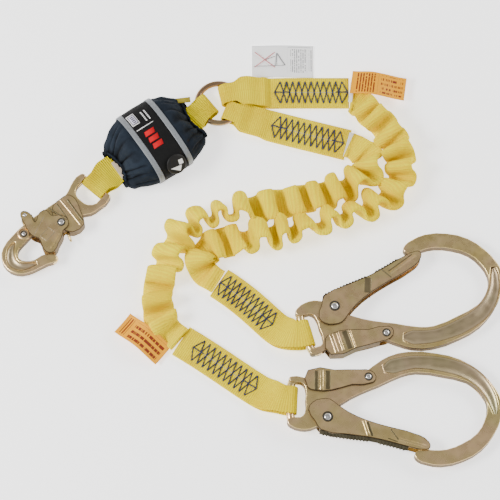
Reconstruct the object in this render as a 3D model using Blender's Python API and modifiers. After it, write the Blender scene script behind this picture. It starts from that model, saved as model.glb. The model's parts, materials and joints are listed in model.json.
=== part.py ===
"""Twin-leg shock absorbing lanyard, laid out flat.

A snap hook and a gathered absorber pack hang on one side of a steel ring.  Two elastic webbing legs
leave the other side, and each ends in a wide-throat rebar hook.  Driving dimensions are in
millimetres, and every mesh is made in metres.  +Z is up and the lanyard lies on Z = 0.
"""

import math

import bmesh
import bpy
from mathutils import Matrix, Vector

MM = 0.001

# --- where the pieces lie, in the plan of the layout -------------------------------------------
LAYOUT_OFFSET = (-2.2, -3.75)     # puts the middle of the whole layout over the origin
RING_CENTRE = (-34.0, 170.5)
PACK_CENTRE = (-102.0, 120.8)
PACK_ANGLE = 34.5                 # the pack's long axis, from the snap hook to the ring
SNAP_PLACE = (-168.0, 75.5)       # middle of the eye's limb, which the webbing folds around
SNAP_ANGLE = -130.8
SNAP_HEIGHT = 10.0
REBAR_A_PLACE = (58.0, -93.5)
REBAR_A_ANGLE = 18.0
REBAR_B_PLACE = (42.0, -164.0)
REBAR_B_ANGLE = -1.0
REBAR_HEIGHT = 12.3               # eye height; the far end of the bowl rests on the floor
REBAR_REACH = 219.0               # from the eye's limb to the far end of the bowl

# --- webbing ---------------------------------------------------------------------------------
WEB_WIDTH = 35.0
WEB_THICK = 2.0
LAYER_STEP = 2.5                  # from one sewn layer's middle to the next one's
FLOOR_LAYER = 1.3                 # height of the lowest layer's middle
THREAD_RADIUS = 0.45
STITCH_LENGTH = 80.0
STITCH_WIDTH = 25.0
STITCH_PEAKS = 12
STITCH_FLAT = 0.9

# --- elastic legs ----------------------------------------------------------------------------
SLEEVE_RADIUS = 12.5
SLEEVE_END_RADIUS = 5.5
SLEEVE_TAPER = 30.0               # length over which a sleeve swells to its full radius
SLEEVE_WALL = 1.6
CORE_RADIUS = 3.0
SLEEVE_A_ROUTE = ((109.4, 176.8), (113.8, 175.5), (121, 169), (128, 159), (137, 149), (147, 135), (156, 118),
                  (161, 100), (160, 83), (153, 67), (140, 56), (126, 49), (111, 42), (98, 37.5), (84, 33),
                  (69, 29), (53, 25.5), (35, 21.5), (17, 18), (0, 15.5), (-15, 12.5), (-29, 9), (-43, 3.5),
                  (-51.5, -6), (-51, -17.5), (-43.5, -26), (-33.6, -32.2))
SLEEVE_B_ROUTE = ((106.6, 123.5), (114, 119.5), (122, 111), (126.5, 100), (126, 89), (120, 80), (110, 74),
                  (98, 70), (84, 66), (69, 62), (53, 58), (37, 54), (19, 50.5), (4, 47.5), (-11, 45),
                  (-25, 42.5), (-40, 39), (-54, 34), (-66, 25.5), (-76, 13), (-84, -2), (-91, -20),
                  (-95.5, -39), (-96.5, -56), (-94, -71), (-87, -84.5), (-73.4, -96.2))
SLEEVE_POINTS = 36

# --- steel -----------------------------------------------------------------------------------
RING_RADIUS = 23.0
RING_WIRE = 3.2
RING_HEIGHT = 8.4
REBAR_HALF = 5.5                  # half the thickness of a rebar hook's forged body
REBAR_PLATE = (5.85, 7.7)         # inner and outer face of its gate and lever plates
SNAP_HALF = 5.0
SNAP_LEVER_PLATE = (5.35, 6.6)
SNAP_GATE_PLATE = (6.9, 8.3)
SPRING_WIRE = 0.45
SPRING_PITCH = 1.05               # height that a spring gains in one turn
SNAP_SPRING_RADIUS = 4.6
SNAP_SPRING_TURNS = 1.75
SNAP_SPRING_STARTS = (-4.5, 2.7)  # the gate's spring below, the lock's above
SNAP_POCKET = (6.4, 2.2)          # radius of the springs' pockets, and where their floors are
REBAR_SPRING_RADII = (5.4, 4.2)   # the gate's and the lock's
REBAR_SPRING_TURNS = 2.0
REBAR_SPRING_START = -4.9
REBAR_POCKETS = (7.4, 6.0)
REBAR_POCKET_FLOOR = 2.4
SNAP_EAR_HOLE = 2.2
SNAP_PIN = 2.6
SNAP_HOLE = 2.9
SNAP_HEAD = 4.2
STOP_PIN = 1.7
STOP_HEAD = 3.2
REBAR_PIN = 3.0
REBAR_HOLE = 3.3
REBAR_HEAD = 4.8
REBAR_LOCK_PIN = 2.2
REBAR_LOCK_HOLE = 2.5
REBAR_LOCK_HEAD = 3.8
HOOK_LIMB = 4.5
SNAP_LIMB = 4.0

# --- absorber pack ---------------------------------------------------------------------------
PACK_STATIONS = ((-50, 25, 11, 12.5), (-47, 28, 13, 14.5), (-38, 34, 17.5, 18.8), (-29, 39, 20.5, 21.6),
                 (-22, 42, 21, 22.2), (0, 43, 21, 22.2), (22, 42, 21, 22.2), (29, 39, 20.5, 21.6),
                 (38, 34, 17.5, 18.8), (47, 28, 13, 14.5), (50, 25, 11, 12.5))
PACK_SIDES = 24
PACK_SQUARENESS = 2.4
HEM_SQUARENESS = 3.8
HEM_RADIUS = 1.3
COVER_WALL = 1.0
BAND_HALF = 15.0
STRIPE = (15.4, 21.0)
TEAR_PACK = (56.0, 56.0, 22.0)    # the folded tear webbing inside the cover
PACK_INSIDE = 31.0                # how far from the pack's middle its two loops end
PAD_SIZE = (20.0, 30.0)
DISC_RADIUS = 11.0
DISC_AT = (2.0, 151.0)            # along the pack, and degrees round its section
DISC_LIFT = 2.3
DISC_THICK = 1.6
LABEL_THICK = 0.6

COLOURS = {
    "zinc_steel": ((0.62, 0.53, 0.36), 0.32, 1.0),
    "rivet_steel": ((0.75, 0.74, 0.72), 0.2, 1.0),
    "yellow_webbing": ((0.9, 0.72, 0.03), 0.75, 0.0),
    "elastic_webbing": ((0.86, 0.6, 0.02), 0.8, 0.0),
    "elastic_rubber": ((0.75, 0.7, 0.6), 0.6, 0.0),
    "navy_fabric": ((0.02, 0.035, 0.07), 0.85, 0.0),
    "black_fabric": ((0.012, 0.012, 0.014), 0.8, 0.0),
    "reflective_tape": ((0.35, 0.36, 0.38), 0.4, 0.0),
    "navy_thread": ((0.02, 0.03, 0.12), 0.7, 0.0),
    "beige_webbing": ((0.6, 0.5, 0.36), 0.85, 0.0),
    "black_plastic": ((0.03, 0.03, 0.03), 0.45, 0.0),
    "white_label": ((0.85, 0.84, 0.82), 0.6, 0.0),
    "orange_label": ((0.85, 0.42, 0.03), 0.6, 0.0),
}


# =============================================================================================
# Scene, materials, objects
# =============================================================================================
def clear_scene():
    for obj in list(bpy.data.objects):
        bpy.data.objects.remove(obj, do_unlink=True)


def make_collection(name):
    group = bpy.data.collections.new(name)
    bpy.context.scene.collection.children.link(group)
    return group


def make_materials():
    made = {}
    for name, (colour, roughness, metallic) in COLOURS.items():
        mat = bpy.data.materials.new(name)
        mat.use_nodes = True
        shader = mat.node_tree.nodes["Principled BSDF"]
        shader.inputs["Base Color"].default_value = (*colour, 1.0)
        shader.inputs["Roughness"].default_value = roughness
        shader.inputs["Metallic"].default_value = metallic
        made[name] = mat
    return made


clear_scene()
PARTS = make_collection("shock_absorbing_lanyard")
CUTTERS = make_collection("cutters")
MATERIALS = make_materials()


def add_empty(name, parent=None, place=(0, 0, 0), turn=None):
    """An empty on a joint's axis.  place is in millimetres, turn is a rotation matrix."""
    empty = bpy.data.objects.new(name, None)
    empty.empty_display_size = 0.01
    PARTS.objects.link(empty)
    empty.parent = parent
    empty.location = Vector(place) * MM
    if turn is not None:
        empty.rotation_euler = turn.to_euler()
    return empty


def add_object(name, data, material, parent=None, place=(0, 0, 0)):
    obj = bpy.data.objects.new(name, data)
    PARTS.objects.link(obj)
    obj.parent = parent
    obj.location = Vector(place) * MM
    if material is not None:
        obj.data.materials.clear()
        obj.data.materials.append(MATERIALS[material])
    return obj


def make_cutter(obj):
    PARTS.objects.unlink(obj)
    CUTTERS.objects.link(obj)
    obj.hide_render = True
    obj.display_type = "WIRE"
    return obj


def boolean(obj, tool, operation="DIFFERENCE"):
    mod = obj.modifiers.new(tool.name, "BOOLEAN")
    mod.operation = operation
    mod.solver = "EXACT"
    mod.object = tool


def smooth(obj, degrees=40.0):
    obj.data.shade_smooth()
    obj.data.set_sharp_from_angle(angle=math.radians(degrees))


def as_mesh(obj):
    """Turn a curve object into a mesh object with welded caps, in the same place."""
    bpy.context.view_layer.update()
    mesh = bpy.data.meshes.new_from_object(obj.evaluated_get(bpy.context.evaluated_depsgraph_get()))
    bm = bmesh.new()
    bm.from_mesh(mesh)
    bmesh.ops.remove_doubles(bm, verts=bm.verts, dist=1e-6)
    bm.to_mesh(mesh)
    bm.free()
    made = bpy.data.objects.new(obj.name + "_mesh", mesh)
    PARTS.objects.link(made)
    made.parent = obj.parent
    made.location = obj.location
    name = obj.name
    bpy.data.objects.remove(obj, do_unlink=True)
    made.name = name
    return made


def plate(name, outline, low, high, material, parent, place=(0, 0, 0), detail=2, rounded=True):
    """A flat plate between two heights, from a closed outline given around `place`."""
    curve = bpy.data.curves.new(name, "CURVE")
    curve.dimensions = "2D"
    curve.fill_mode = "BOTH"
    curve.extrude = (high - low) / 2 * MM
    curve.resolution_u = detail
    curve.render_resolution_u = 0
    spline = curve.splines.new("BEZIER")
    spline.bezier_points.add(len(outline) - 1)
    for point, (x, y) in zip(spline.bezier_points, outline):
        point.co = Vector((x - place[0], y - place[1], 0)) * MM
        point.handle_left_type = point.handle_right_type = "AUTO" if rounded else "VECTOR"
    spline.use_cyclic_u = True
    obj = add_object(name, curve, material, parent, (place[0], place[1], (low + high) / 2))
    return as_mesh(obj)


def cylinder(name, radius, low, high, parent, place=(0, 0), sides=16, along="Z"):
    """A cylinder along Z from low to high at place, or along Y at x = 0 with place as (x, z)."""
    bpy.ops.mesh.primitive_cylinder_add(vertices=sides, radius=radius * MM, depth=(high - low) * MM)
    obj = bpy.context.object
    obj.name = name
    for group in list(obj.users_collection):
        group.objects.unlink(obj)
    PARTS.objects.link(obj)
    obj.parent = parent
    middle = (low + high) / 2
    if along == "Y":
        obj.data.transform(Matrix.Rotation(math.radians(90), 4, "X"))
        obj.location = Vector((place[0], middle, place[1])) * MM
    else:
        obj.location = Vector((place[0], place[1], middle)) * MM
    return obj


def turned(name, profile, material, parent, place, steps=14):
    """A piece turned about Z.  The profile runs top to bottom at +X, as (radius, height)."""
    mesh = bpy.data.meshes.new(name)
    points = [(r * MM, 0, z * MM) for r, z in profile]
    mesh.from_pydata(points, [(i, i + 1) for i in range(len(points) - 1)], [])
    obj = add_object(name, mesh, material, parent, place)
    mod = obj.modifiers.new("turn", "SCREW")
    mod.steps = mod.render_steps = steps
    mod.use_merge_vertices = True
    mod.merge_threshold = 1e-5
    mod.use_smooth_shade = True
    return obj


def tube(name, points, radius, material, parent=None, radii=None, sides=2, caps=True, closed=False,
         place=(0, 0, 0)):
    """A round tube along points (millimetres), with an optional radius factor at each point."""
    curve = bpy.data.curves.new(name, "CURVE")
    curve.dimensions = "3D"
    curve.bevel_depth = radius * MM
    curve.bevel_resolution = sides
    curve.render_resolution_u = 0
    curve.use_fill_caps = caps
    spline = curve.splines.new("POLY")
    spline.points.add(len(points) - 1)
    for i, co in enumerate(points):
        spline.points[i].co = (*(Vector(co) * MM), 1.0)
        spline.points[i].radius = radii[i] if radii else 1.0
    spline.use_cyclic_u = closed
    return add_object(name, curve, material, parent, place)


# =============================================================================================
# Curves in the plan
# =============================================================================================
def direction(degrees):
    return Vector((math.cos(math.radians(degrees)), math.sin(math.radians(degrees))))


def bezier_path(start, start_angle, start_pull, end, end_angle, end_pull, count=120):
    """Points on one cubic; end_angle is the direction of travel at the end."""
    p0, p3 = Vector(start), Vector(end)
    p1 = p0 + direction(start_angle) * start_pull
    p2 = p3 - direction(end_angle) * end_pull
    points = []
    for i in range(count + 1):
        t = i / count
        points.append(p0 * (1 - t) ** 3 + p1 * 3 * t * (1 - t) ** 2 + p2 * 3 * t * t * (1 - t) + p3 * t ** 3)
    return points


def spline_path(points, per_span=8):
    """Points on a smooth curve through the given plan points (Catmull-Rom)."""
    knots = [Vector(p) for p in points]
    knots = [knots[0] * 2 - knots[1]] + knots + [knots[-1] * 2 - knots[-2]]
    smooth_points = []
    for i in range(1, len(knots) - 2):
        a, b, c, d = knots[i - 1:i + 3]
        for j in range(per_span):
            t = j / per_span
            smooth_points.append(0.5 * (2 * b + (c - a) * t + (2 * a - 5 * b + 4 * c - d) * t ** 2
                                        + (3 * b - a - 3 * c + d) * t ** 3))
    smooth_points.append(knots[-2])
    return smooth_points


def path_length(points):
    return sum((b - a).length for a, b in zip(points, points[1:]))


def along(points, distance):
    """The point and the unit direction at a distance along a polyline."""
    left = max(distance, 0.0)
    for a, b in zip(points, points[1:]):
        step = (b - a).length
        if left <= step or b is points[-1]:
            return a + (b - a) * min(left / step, 1.0), (b - a).normalized()
        left -= step


def keyed(keys, value):
    """Smooth interpolation between (value, result) keys."""
    if value <= keys[0][0]:
        return keys[0][1]
    for (a, ra), (b, rb) in zip(keys, keys[1:]):
        if value <= b:
            t = (value - a) / (b - a)
            return ra + (rb - ra) * t * t * (3 - 2 * t)
    return keys[-1][1]


# =============================================================================================
# Webbing
# =============================================================================================
def webbing_rows(path, heights, widths, fold_radius, step):
    """Rows of two edge points: along the lower layer to the fold, round it, and back on top."""
    length = path_length(path)
    count = max(6, round(length / step))
    stations = [length * i / count for i in range(count + 1)]
    low, high = heights
    rows = []
    for s in reversed(stations[1:]):
        rows.append((s, keyed(low, s), 0.0))
    wrap = 8
    middle = (keyed(low, 0) + keyed(high, 0)) / 2
    for i in range(wrap + 1):
        angle = -math.pi / 2 - math.pi * i / wrap
        rows.append((0.0, middle + fold_radius * math.sin(angle), fold_radius * math.cos(angle)))
    for s in stations[1:]:
        rows.append((s, keyed(high, s), 0.0))
    edges = []
    for s, z, back in rows:
        point, way = along(path, s)
        point = point + way * back
        side = Vector((-way.y, way.x)) * keyed(widths, s) / 2
        edges.append((Vector((*(point - side), z)), Vector((*(point + side), z))))
    return edges


def webbing_loop(name, path, heights, widths, fold_radius, material, step=9.0):
    """A strap folded round a bar at the start of the path, its two layers sewn at the far end."""
    bm = bmesh.new()
    rows = [[bm.verts.new(corner * MM) for corner in row]
            for row in webbing_rows(path, heights, widths, fold_radius, step)]
    for (a, b), (c, d) in zip(rows, rows[1:]):
        bm.faces.new((a, b, d, c))
    mesh = bpy.data.meshes.new(name)
    bm.to_mesh(mesh)
    bm.free()
    obj = add_object(name, mesh, material, LANYARD)
    mod = obj.modifiers.new("thickness", "SOLIDIFY")
    mod.thickness = WEB_THICK * MM
    mod.offset = 0.0
    mod.use_even_offset = True
    smooth(obj)
    return obj


def stitching(name, path, start, height, material="navy_thread"):
    """One zigzag row of lock stitches over the sewn layers.  Each peak is a short flat."""
    points = []
    turns = STITCH_PEAKS * 2
    length = min(STITCH_LENGTH, path_length(path) - start - 1)
    for i in range(turns + 1):
        reach = STITCH_WIDTH / 2 * (0 if i in (0, turns) else (-1) ** i)
        flats = (0,) if i in (0, turns) else (-STITCH_FLAT / 2, STITCH_FLAT / 2)
        for flat in flats:
            point, way = along(path, start + length * i / turns + flat)
            point = point + Vector((-way.y, way.x)) * reach
            points.append((point.x, point.y, height))
    return tube(name, points, THREAD_RADIUS, material, LANYARD, sides=0)


def sleeve_and_core(leg, route):
    """A gathered elastic sleeve, open at both ends, with the rubber core inside it."""
    path = spline_path(route)
    length = path_length(path)
    points, radii = [], []
    for i in range(SLEEVE_POINTS + 1):
        s = length * i / SLEEVE_POINTS
        point, _ = along(path, s)
        swell = keyed(((0, SLEEVE_END_RADIUS), (SLEEVE_TAPER, SLEEVE_RADIUS)), min(s, length - s))
        points.append((point.x, point.y, swell + 0.4))
        radii.append(swell / SLEEVE_RADIUS)
    sleeve = as_mesh(tube(f"leg_{leg}_sleeve", points, SLEEVE_RADIUS, "elastic_webbing", LANYARD, radii,
                          caps=False))
    wall = sleeve.modifiers.new("wall", "SOLIDIFY")
    wall.thickness = SLEEVE_WALL * MM
    wall.offset = -1.0
    smooth(sleeve, 60)
    tube(f"leg_{leg}_core", points, CORE_RADIUS, "elastic_rubber", LANYARD, sides=1)


def flat_label(name, start, angle, length, width, heights, material):
    """A thin printed label: a strip whose height follows keys along its length."""
    way = direction(angle)
    across = Vector((-way.y, way.x))
    bm = bmesh.new()
    rows = []
    count = 10
    for i in range(count + 1):
        s = length * i / count
        point = Vector(start) + way * s
        z = keyed(heights, s)
        rows.append([bm.verts.new(Vector((*(point + across * k * width / 2), z)) * MM) for k in (-1, 1)])
    for (a, b), (c, d) in zip(rows, rows[1:]):
        bm.faces.new((a, b, d, c))
    mesh = bpy.data.meshes.new(name)
    bm.to_mesh(mesh)
    bm.free()
    obj = add_object(name, mesh, material, LANYARD)
    mod = obj.modifiers.new("thickness", "SOLIDIFY")
    mod.thickness = LABEL_THICK * MM
    mod.offset = 0.0
    return obj


# =============================================================================================
# Absorber pack
# =============================================================================================
def pack_section(s, grow=0.0):
    """Half width, half thickness and middle height of the pack at a distance along its axis."""
    stations = PACK_STATIONS
    for a, b in zip(stations, stations[1:]):
        if a[0] <= s <= b[0]:
            t = (s - a[0]) / (b[0] - a[0])
            width, thick, middle = (a[k] + (b[k] - a[k]) * t for k in (1, 2, 3))
            return width + grow, thick + grow, middle


def pack_point(s, angle, grow=0.0, squareness=PACK_SQUARENESS):
    """A point on the pack's rounded-oblong outer surface, in the pack's own frame."""
    width, thick, middle = pack_section(s, grow)
    c, d = math.cos(angle), math.sin(angle)
    power = 2 / squareness
    return Vector((s, math.copysign(abs(c) ** power, c) * width,
                   middle + math.copysign(abs(d) ** power, d) * thick))


def pack_shell(name, stations, grow, wall, outward, material):
    """An open sleeve over the pack between two stations, thickened inward or outward."""
    bm = bmesh.new()
    rings = []
    for s in stations:
        angles = [2 * math.pi * i / PACK_SIDES for i in range(PACK_SIDES)]
        rings.append([bm.verts.new(pack_point(s, a, grow) * MM) for a in angles])
    for low, high in zip(rings, rings[1:]):
        for i in range(PACK_SIDES):
            j = (i + 1) % PACK_SIDES
            bm.faces.new((low[i], low[j], high[j], high[i]))
    bmesh.ops.recalc_face_normals(bm, faces=bm.faces)
    mesh = bpy.data.meshes.new(name)
    bm.to_mesh(mesh)
    bm.free()
    obj = add_object(name, mesh, material, PACK)
    mod = obj.modifiers.new("wall", "SOLIDIFY")
    mod.thickness = wall * MM
    mod.offset = 1.0 if outward else -1.0
    smooth(obj, 60)
    return obj


def elastic_hem(name, s, way):
    """The elastic cord that gathers one mouth of the cover."""
    points = [pack_point(s, 2 * math.pi * i / 20, -HEM_RADIUS, HEM_SQUARENESS) for i in range(20)]
    points = [(s + way * (HEM_RADIUS + 0.7), point.y, point.z) for point in points]
    return tube(name, points, HEM_RADIUS, "navy_fabric", PACK, sides=1, caps=False, closed=True)


def build_pack():
    stations = [station[0] for station in PACK_STATIONS]
    pack_shell("absorber_cover", stations, 0.0, COVER_WALL, False, "navy_fabric")
    pack_shell("absorber_centre_band", (-BAND_HALF, 0, BAND_HALF), 0.35, 0.6, True, "black_fabric")
    pack_shell("reflective_stripe_snap_side", (-STRIPE[1], -STRIPE[0]), 0.35, 0.7, True, "reflective_tape")
    pack_shell("reflective_stripe_ring_side", STRIPE, 0.35, 0.7, True, "reflective_tape")
    elastic_hem("elastic_hem_snap_side", PACK_STATIONS[0][0], -1)
    elastic_hem("elastic_hem_ring_side", PACK_STATIONS[-1][0], 1)

    bpy.ops.mesh.primitive_cube_add(size=1)
    core = bpy.context.object
    core.name = "tear_webbing_pack"
    for group in list(core.users_collection):
        group.objects.unlink(core)
    PARTS.objects.link(core)
    core.parent = PACK
    core.data.transform(Matrix.Diagonal((*(Vector(TEAR_PACK) * MM), 1)))
    core.location = (0, 0, PACK_STATIONS[5][3] * MM)
    core.data.materials.append(MATERIALS["yellow_webbing"])
    edge = core.modifiers.new("soft_edges", "BEVEL")
    edge.width = 4 * MM
    edge.segments = 2

    station, angle = DISC_AT[0], math.radians(DISC_AT[1])
    spot = pack_point(station, angle)
    along_section = pack_point(station, angle + 0.05) - pack_point(station, angle - 0.05)
    outward = Vector((0, -abs(along_section.z), abs(along_section.y))).normalized()
    disc = cylinder("inspection_disc", DISC_RADIUS, -DISC_THICK / 2, DISC_THICK / 2, PACK, sides=24)
    disc.data.materials.append(MATERIALS["black_plastic"])
    disc.rotation_euler = Vector((0, 0, 1)).rotation_difference(outward).to_euler()
    disc.location = (spot + outward * DISC_LIFT) * MM
    smooth(disc)


# =============================================================================================
# Hooks
# =============================================================================================
SNAP_BODY = ((0, -16.5), (12, -17), (22, -14), (30, -12.5), (45, -16), (60, -19), (80, -23), (100, -24),
             (116, -22), (126, -15), (130.5, -4), (128, 8), (119, 17), (108, 22), (98, 26), (90, 30),
             (86, 27), (86, 22), (90, 18), (96, 14), (104, 12), (111, 6), (113.5, -1), (110, -6.5),
             (104, -8.5), (95, -8.5), (84, -8.5), (74, -7), (67, -2), (64, 6), (60, 13), (52, 15.5),
             (42, 15.5), (33, 17), (27, 22), (16, 25), (0, 25.5), (-2.5, 22), (0, 19), (14, 18.5),
             (21, 13), (22.5, 4.5), (21, -4), (14, -9.5), (0, -10), (-2.5, -13))
SNAP_GATE = ((73, -15), (70, -22), (70, -30), (74, -34), (78.5, -31), (82, -22), (86, -12), (86, -5),
             (84, 0), (87, 7), (89.5, 12), (89, 19), (84, 22.5), (74, 19.5), (64, 16.5), (61, 14),
             (54, 14.5), (49, 11), (47.5, 6), (50, -1), (56, -7), (55, -13), (57, -17.5), (66, -18))
SNAP_GATE_SLOT = ((40, -40), (100, -40), (100, 30), (83, 30), (82.5, 19.8), (64.5, 14.4), (60, 30), (40, 30))
SNAP_LEVER = ((25, -5), (28, -11), (36, -13), (46, -14), (53, -9), (60, -1), (62, 6), (60, 12),
              (56.5, 20), (54, 23), (41, 25.5), (37, 22), (32, 13), (27, 4))
SNAP_LEVER_SLOT = ((20, -20), (70, -20), (70, 30), (57.5, 30), (56.8, 18.6), (38, 21.6), (36, 30), (20, 30))
SNAP_PIVOT = (55, 6)
SNAP_STOP = (90, -16)
SNAP_EAR = (74.5, -28.5)

REBAR_BODY = ((0, -29), (10, -32.5), (20, -32), (26, -29.5), (31, -28), (38, -28.5), (44, -25), (47, -17),
              (47, -9), (53, -3.5), (72, 8), (92, 17), (114, 28), (130, 32), (158, 29), (181, 24),
              (193, 17), (200, 7), (203, -4), (200, -18), (192, -32), (177, -43), (160, -50), (146, -51),
              (136, -50.5), (130, -52.5), (127.5, -57), (131, -62), (139, -65), (155, -67), (178, -61),
              (197, -49), (210, -32), (217, -16), (219, -2), (211, 18), (196, 34), (176, 47), (151, 53),
              (121, 54), (101, 48.5), (88, 40), (80, 33.5), (74, 27.5), (66, 24.5), (50, 22), (20, 21.5),
              (12, 23.5), (0, 24), (-2.5, 21), (0, 18), (10, 17.5), (14.5, 13), (15, -1), (14.5, -15),
              (10, -19.5), (0, -20), (-3.5, -24.5))
REBAR_GATE = ((18, -12), (22, -4), (31, 0), (40, 0), (48, -5.5), (59, -13), (78, -21.5), (103, -28.5),
              (133, -36.5), (142, -43), (143.5, -49), (139, -51.5), (124, -49.5), (100, -43.5),
              (79, -39.5), (55, -37), (31, -33), (25, -24))
REBAR_GATE_SLOT = ((10, 10), (10, -60), (29.5, -60), (29.5, -30.5), (55, -34.8), (79, -37.3),
                   (100, -41.3), (121.5, -46.6), (122, -60), (150, -60), (150, 10))
REBAR_LEVER = ((17, 30.5), (45, 31.5), (72, 32.5), (82, 32), (88, 25.5), (85, 19), (63, 16), (42, 9.5),
               (24, 9), (17, 12))
REBAR_LEVER_SLOT = ((10, -5), (95, -5), (95, 40), (71, 40), (70.5, 30.3), (10, 28.6))
REBAR_PIVOT = (38, -19)
REBAR_LOCK_PIVOT = (80, 25)


def mirrored(points, flip):
    return [(x, y * flip) for x, y in points]


def channel(name, outline, slot, outer, inner, material, hinge, pivot, holes):
    """Two flanges joined by a web: an outline cut by a slot that leaves the web along one edge."""
    obj = plate(name, shifted(outline, pivot), -outer, outer, material, hinge)
    gap = make_cutter(plate(name + "_slot", shifted(slot, pivot), -inner, inner, None, hinge, rounded=False))
    boolean(obj, gap)
    for i, (x, y, radius) in enumerate(holes):
        centre = (x - pivot[0], y - pivot[1])
        hole = cylinder(f"{name}_hole_{i}", radius, -outer - 2, outer + 2, hinge, centre)
        boolean(obj, make_cutter(hole))
    smooth(obj)
    return obj


def shifted(points, pivot):
    return [(x - pivot[0], y - pivot[1]) for x, y in points]


def rivet(name, pin, head, reach, hinge, place):
    """A pin with a domed head on each face of the hook."""
    top = reach + 1.3
    profile = [(0, top), (head * 0.6, top - 0.25), (head, reach + 0.25), (pin, reach + 0.25),
               (pin, -reach - 0.25), (head, -reach - 0.25), (head * 0.6, -top + 0.25), (0, -top)]
    return turned(name, profile, "rivet_steel", hinge, (*place, 0), steps=12)


def torsion_spring(name, radius, turns, start_height, hinge, place):
    points = []
    per_turn = 8
    for i in range(round(turns * per_turn) + 1):
        angle = 2 * math.pi * i / per_turn
        points.append((radius * math.cos(angle), radius * math.sin(angle),
                       start_height + SPRING_PITCH * i / per_turn))
    return tube(name, points, SPRING_WIRE, "rivet_steel", hinge, place=(*place, 0))


def hook_body(name, outline, half, limb, span, hinge, holes, pockets, flip=1):
    """A forged body: a plate, the round limb that closes its eye, rivet holes and spring pockets."""
    obj = plate(name, mirrored(outline, flip), -half, half, "zinc_steel", hinge)
    low, high = sorted((span[0] * flip, span[1] * flip))
    bar = make_cutter(cylinder(name + "_limb", limb, low, high, hinge, (0, 0), sides=16, along="Y"))
    boolean(obj, bar, "UNION")
    for i, (x, y, radius) in enumerate(holes):
        hole = cylinder(f"{name}_hole_{i}", radius, -half - 2, half + 2, hinge, (x, y * flip), sides=12)
        boolean(obj, make_cutter(hole))
    for i, (x, y, radius, low, high) in enumerate(pockets):
        pocket = cylinder(f"{name}_pocket_{i}", radius, low, high, hinge, (x, y * flip), sides=14)
        boolean(obj, make_cutter(pocket))
    smooth(obj)
    return obj


def swing_frame(name, place, angle, height, drop):
    """The empty at the middle of an eye's limb: X to the hook's bowl, tipped down by `drop`."""
    turn = Matrix.Rotation(math.radians(angle), 3, "Z") @ Matrix.Rotation(drop, 3, "Y")
    return add_empty(name, LANYARD, (place[0], place[1], height), turn)


def build_snap_hook():
    swing = swing_frame("snap_swing_axis", SNAP_PLACE, SNAP_ANGLE, SNAP_HEIGHT, 0.0)
    radius, floor = SNAP_POCKET
    hook_body("snap_hook_body", SNAP_BODY, SNAP_HALF, SNAP_LIMB, (-13.5, 22.5), swing,
              [(*SNAP_PIVOT, SNAP_HOLE), (*SNAP_STOP, STOP_PIN + 0.3)],
              [(*SNAP_PIVOT, radius, -SNAP_HALF - 1, -floor), (*SNAP_PIVOT, radius, floor, SNAP_HALF + 1)])
    gate_axis = add_empty("snap_gate_axis", swing, (*SNAP_PIVOT, 0))
    channel("snap_gate", SNAP_GATE, SNAP_GATE_SLOT, SNAP_GATE_PLATE[1], SNAP_GATE_PLATE[0], "zinc_steel",
            gate_axis, SNAP_PIVOT, [(*SNAP_PIVOT, SNAP_HOLE), (*SNAP_EAR, SNAP_EAR_HOLE)])
    lock_axis = add_empty("snap_lock_axis", swing, (*SNAP_PIVOT, 0))
    channel("snap_lock_lever", SNAP_LEVER, SNAP_LEVER_SLOT, SNAP_LEVER_PLATE[1], SNAP_LEVER_PLATE[0],
            "zinc_steel", lock_axis, SNAP_PIVOT, [(*SNAP_PIVOT, SNAP_HOLE)])
    rivet("snap_gate_rivet", SNAP_PIN, SNAP_HEAD, SNAP_GATE_PLATE[1], swing, SNAP_PIVOT)
    rivet("snap_stop_rivet", STOP_PIN, STOP_HEAD, SNAP_HALF, swing, SNAP_STOP)
    for kind, start in zip(("gate", "lock"), SNAP_SPRING_STARTS):
        torsion_spring(f"snap_{kind}_spring", SNAP_SPRING_RADIUS, SNAP_SPRING_TURNS, start, swing, SNAP_PIVOT)


def build_rebar_hook(side, place, angle, flip):
    """flip is 1 with the gate on the hook's own -Y side, and -1 for the hook turned over."""
    drop = math.asin((REBAR_HEIGHT - REBAR_HALF) / REBAR_REACH)
    name = f"rebar_{side}"
    swing = swing_frame(f"{name}_swing_axis", place, angle, REBAR_HEIGHT, drop)
    pivot, lock_pivot = ((x, y * flip) for x, y in (REBAR_PIVOT, REBAR_LOCK_PIVOT))
    inner, outer = REBAR_PLATE
    hook_body(f"{name}_body", REBAR_BODY, REBAR_HALF, HOOK_LIMB, (-26, 21), swing,
              [(*REBAR_PIVOT, REBAR_HOLE), (*REBAR_LOCK_PIVOT, REBAR_LOCK_HOLE)],
              [(*at, radius, -REBAR_HALF - 1, -REBAR_POCKET_FLOOR)
               for at, radius in zip((REBAR_PIVOT, REBAR_LOCK_PIVOT), REBAR_POCKETS)], flip)
    gate_axis = add_empty(f"{name}_gate_axis", swing, (*pivot, 0))
    channel(f"{name}_gate", mirrored(REBAR_GATE, flip), mirrored(REBAR_GATE_SLOT, flip), outer, inner,
            "zinc_steel", gate_axis, pivot, [(*pivot, REBAR_HOLE)])
    lock_axis = add_empty(f"{name}_lock_axis", swing, (*lock_pivot, 0))
    channel(f"{name}_lock_lever", mirrored(REBAR_LEVER, flip), mirrored(REBAR_LEVER_SLOT, flip), outer,
            inner, "zinc_steel", lock_axis, lock_pivot, [(*lock_pivot, REBAR_LOCK_HOLE)])
    rivet(f"{name}_gate_rivet", REBAR_PIN, REBAR_HEAD, outer, swing, pivot)
    rivet(f"{name}_lock_rivet", REBAR_LOCK_PIN, REBAR_LOCK_HEAD, outer, swing, lock_pivot)
    for kind, radius, at in zip(("gate", "lock"), REBAR_SPRING_RADII, (pivot, lock_pivot)):
        torsion_spring(f"{name}_{kind}_spring", radius, REBAR_SPRING_TURNS, REBAR_SPRING_START, swing, at)


# =============================================================================================
# The whole lanyard
# =============================================================================================
def ring_point(x, y):
    return (RING_CENTRE[0] + x, RING_CENTRE[1] + y)


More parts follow.
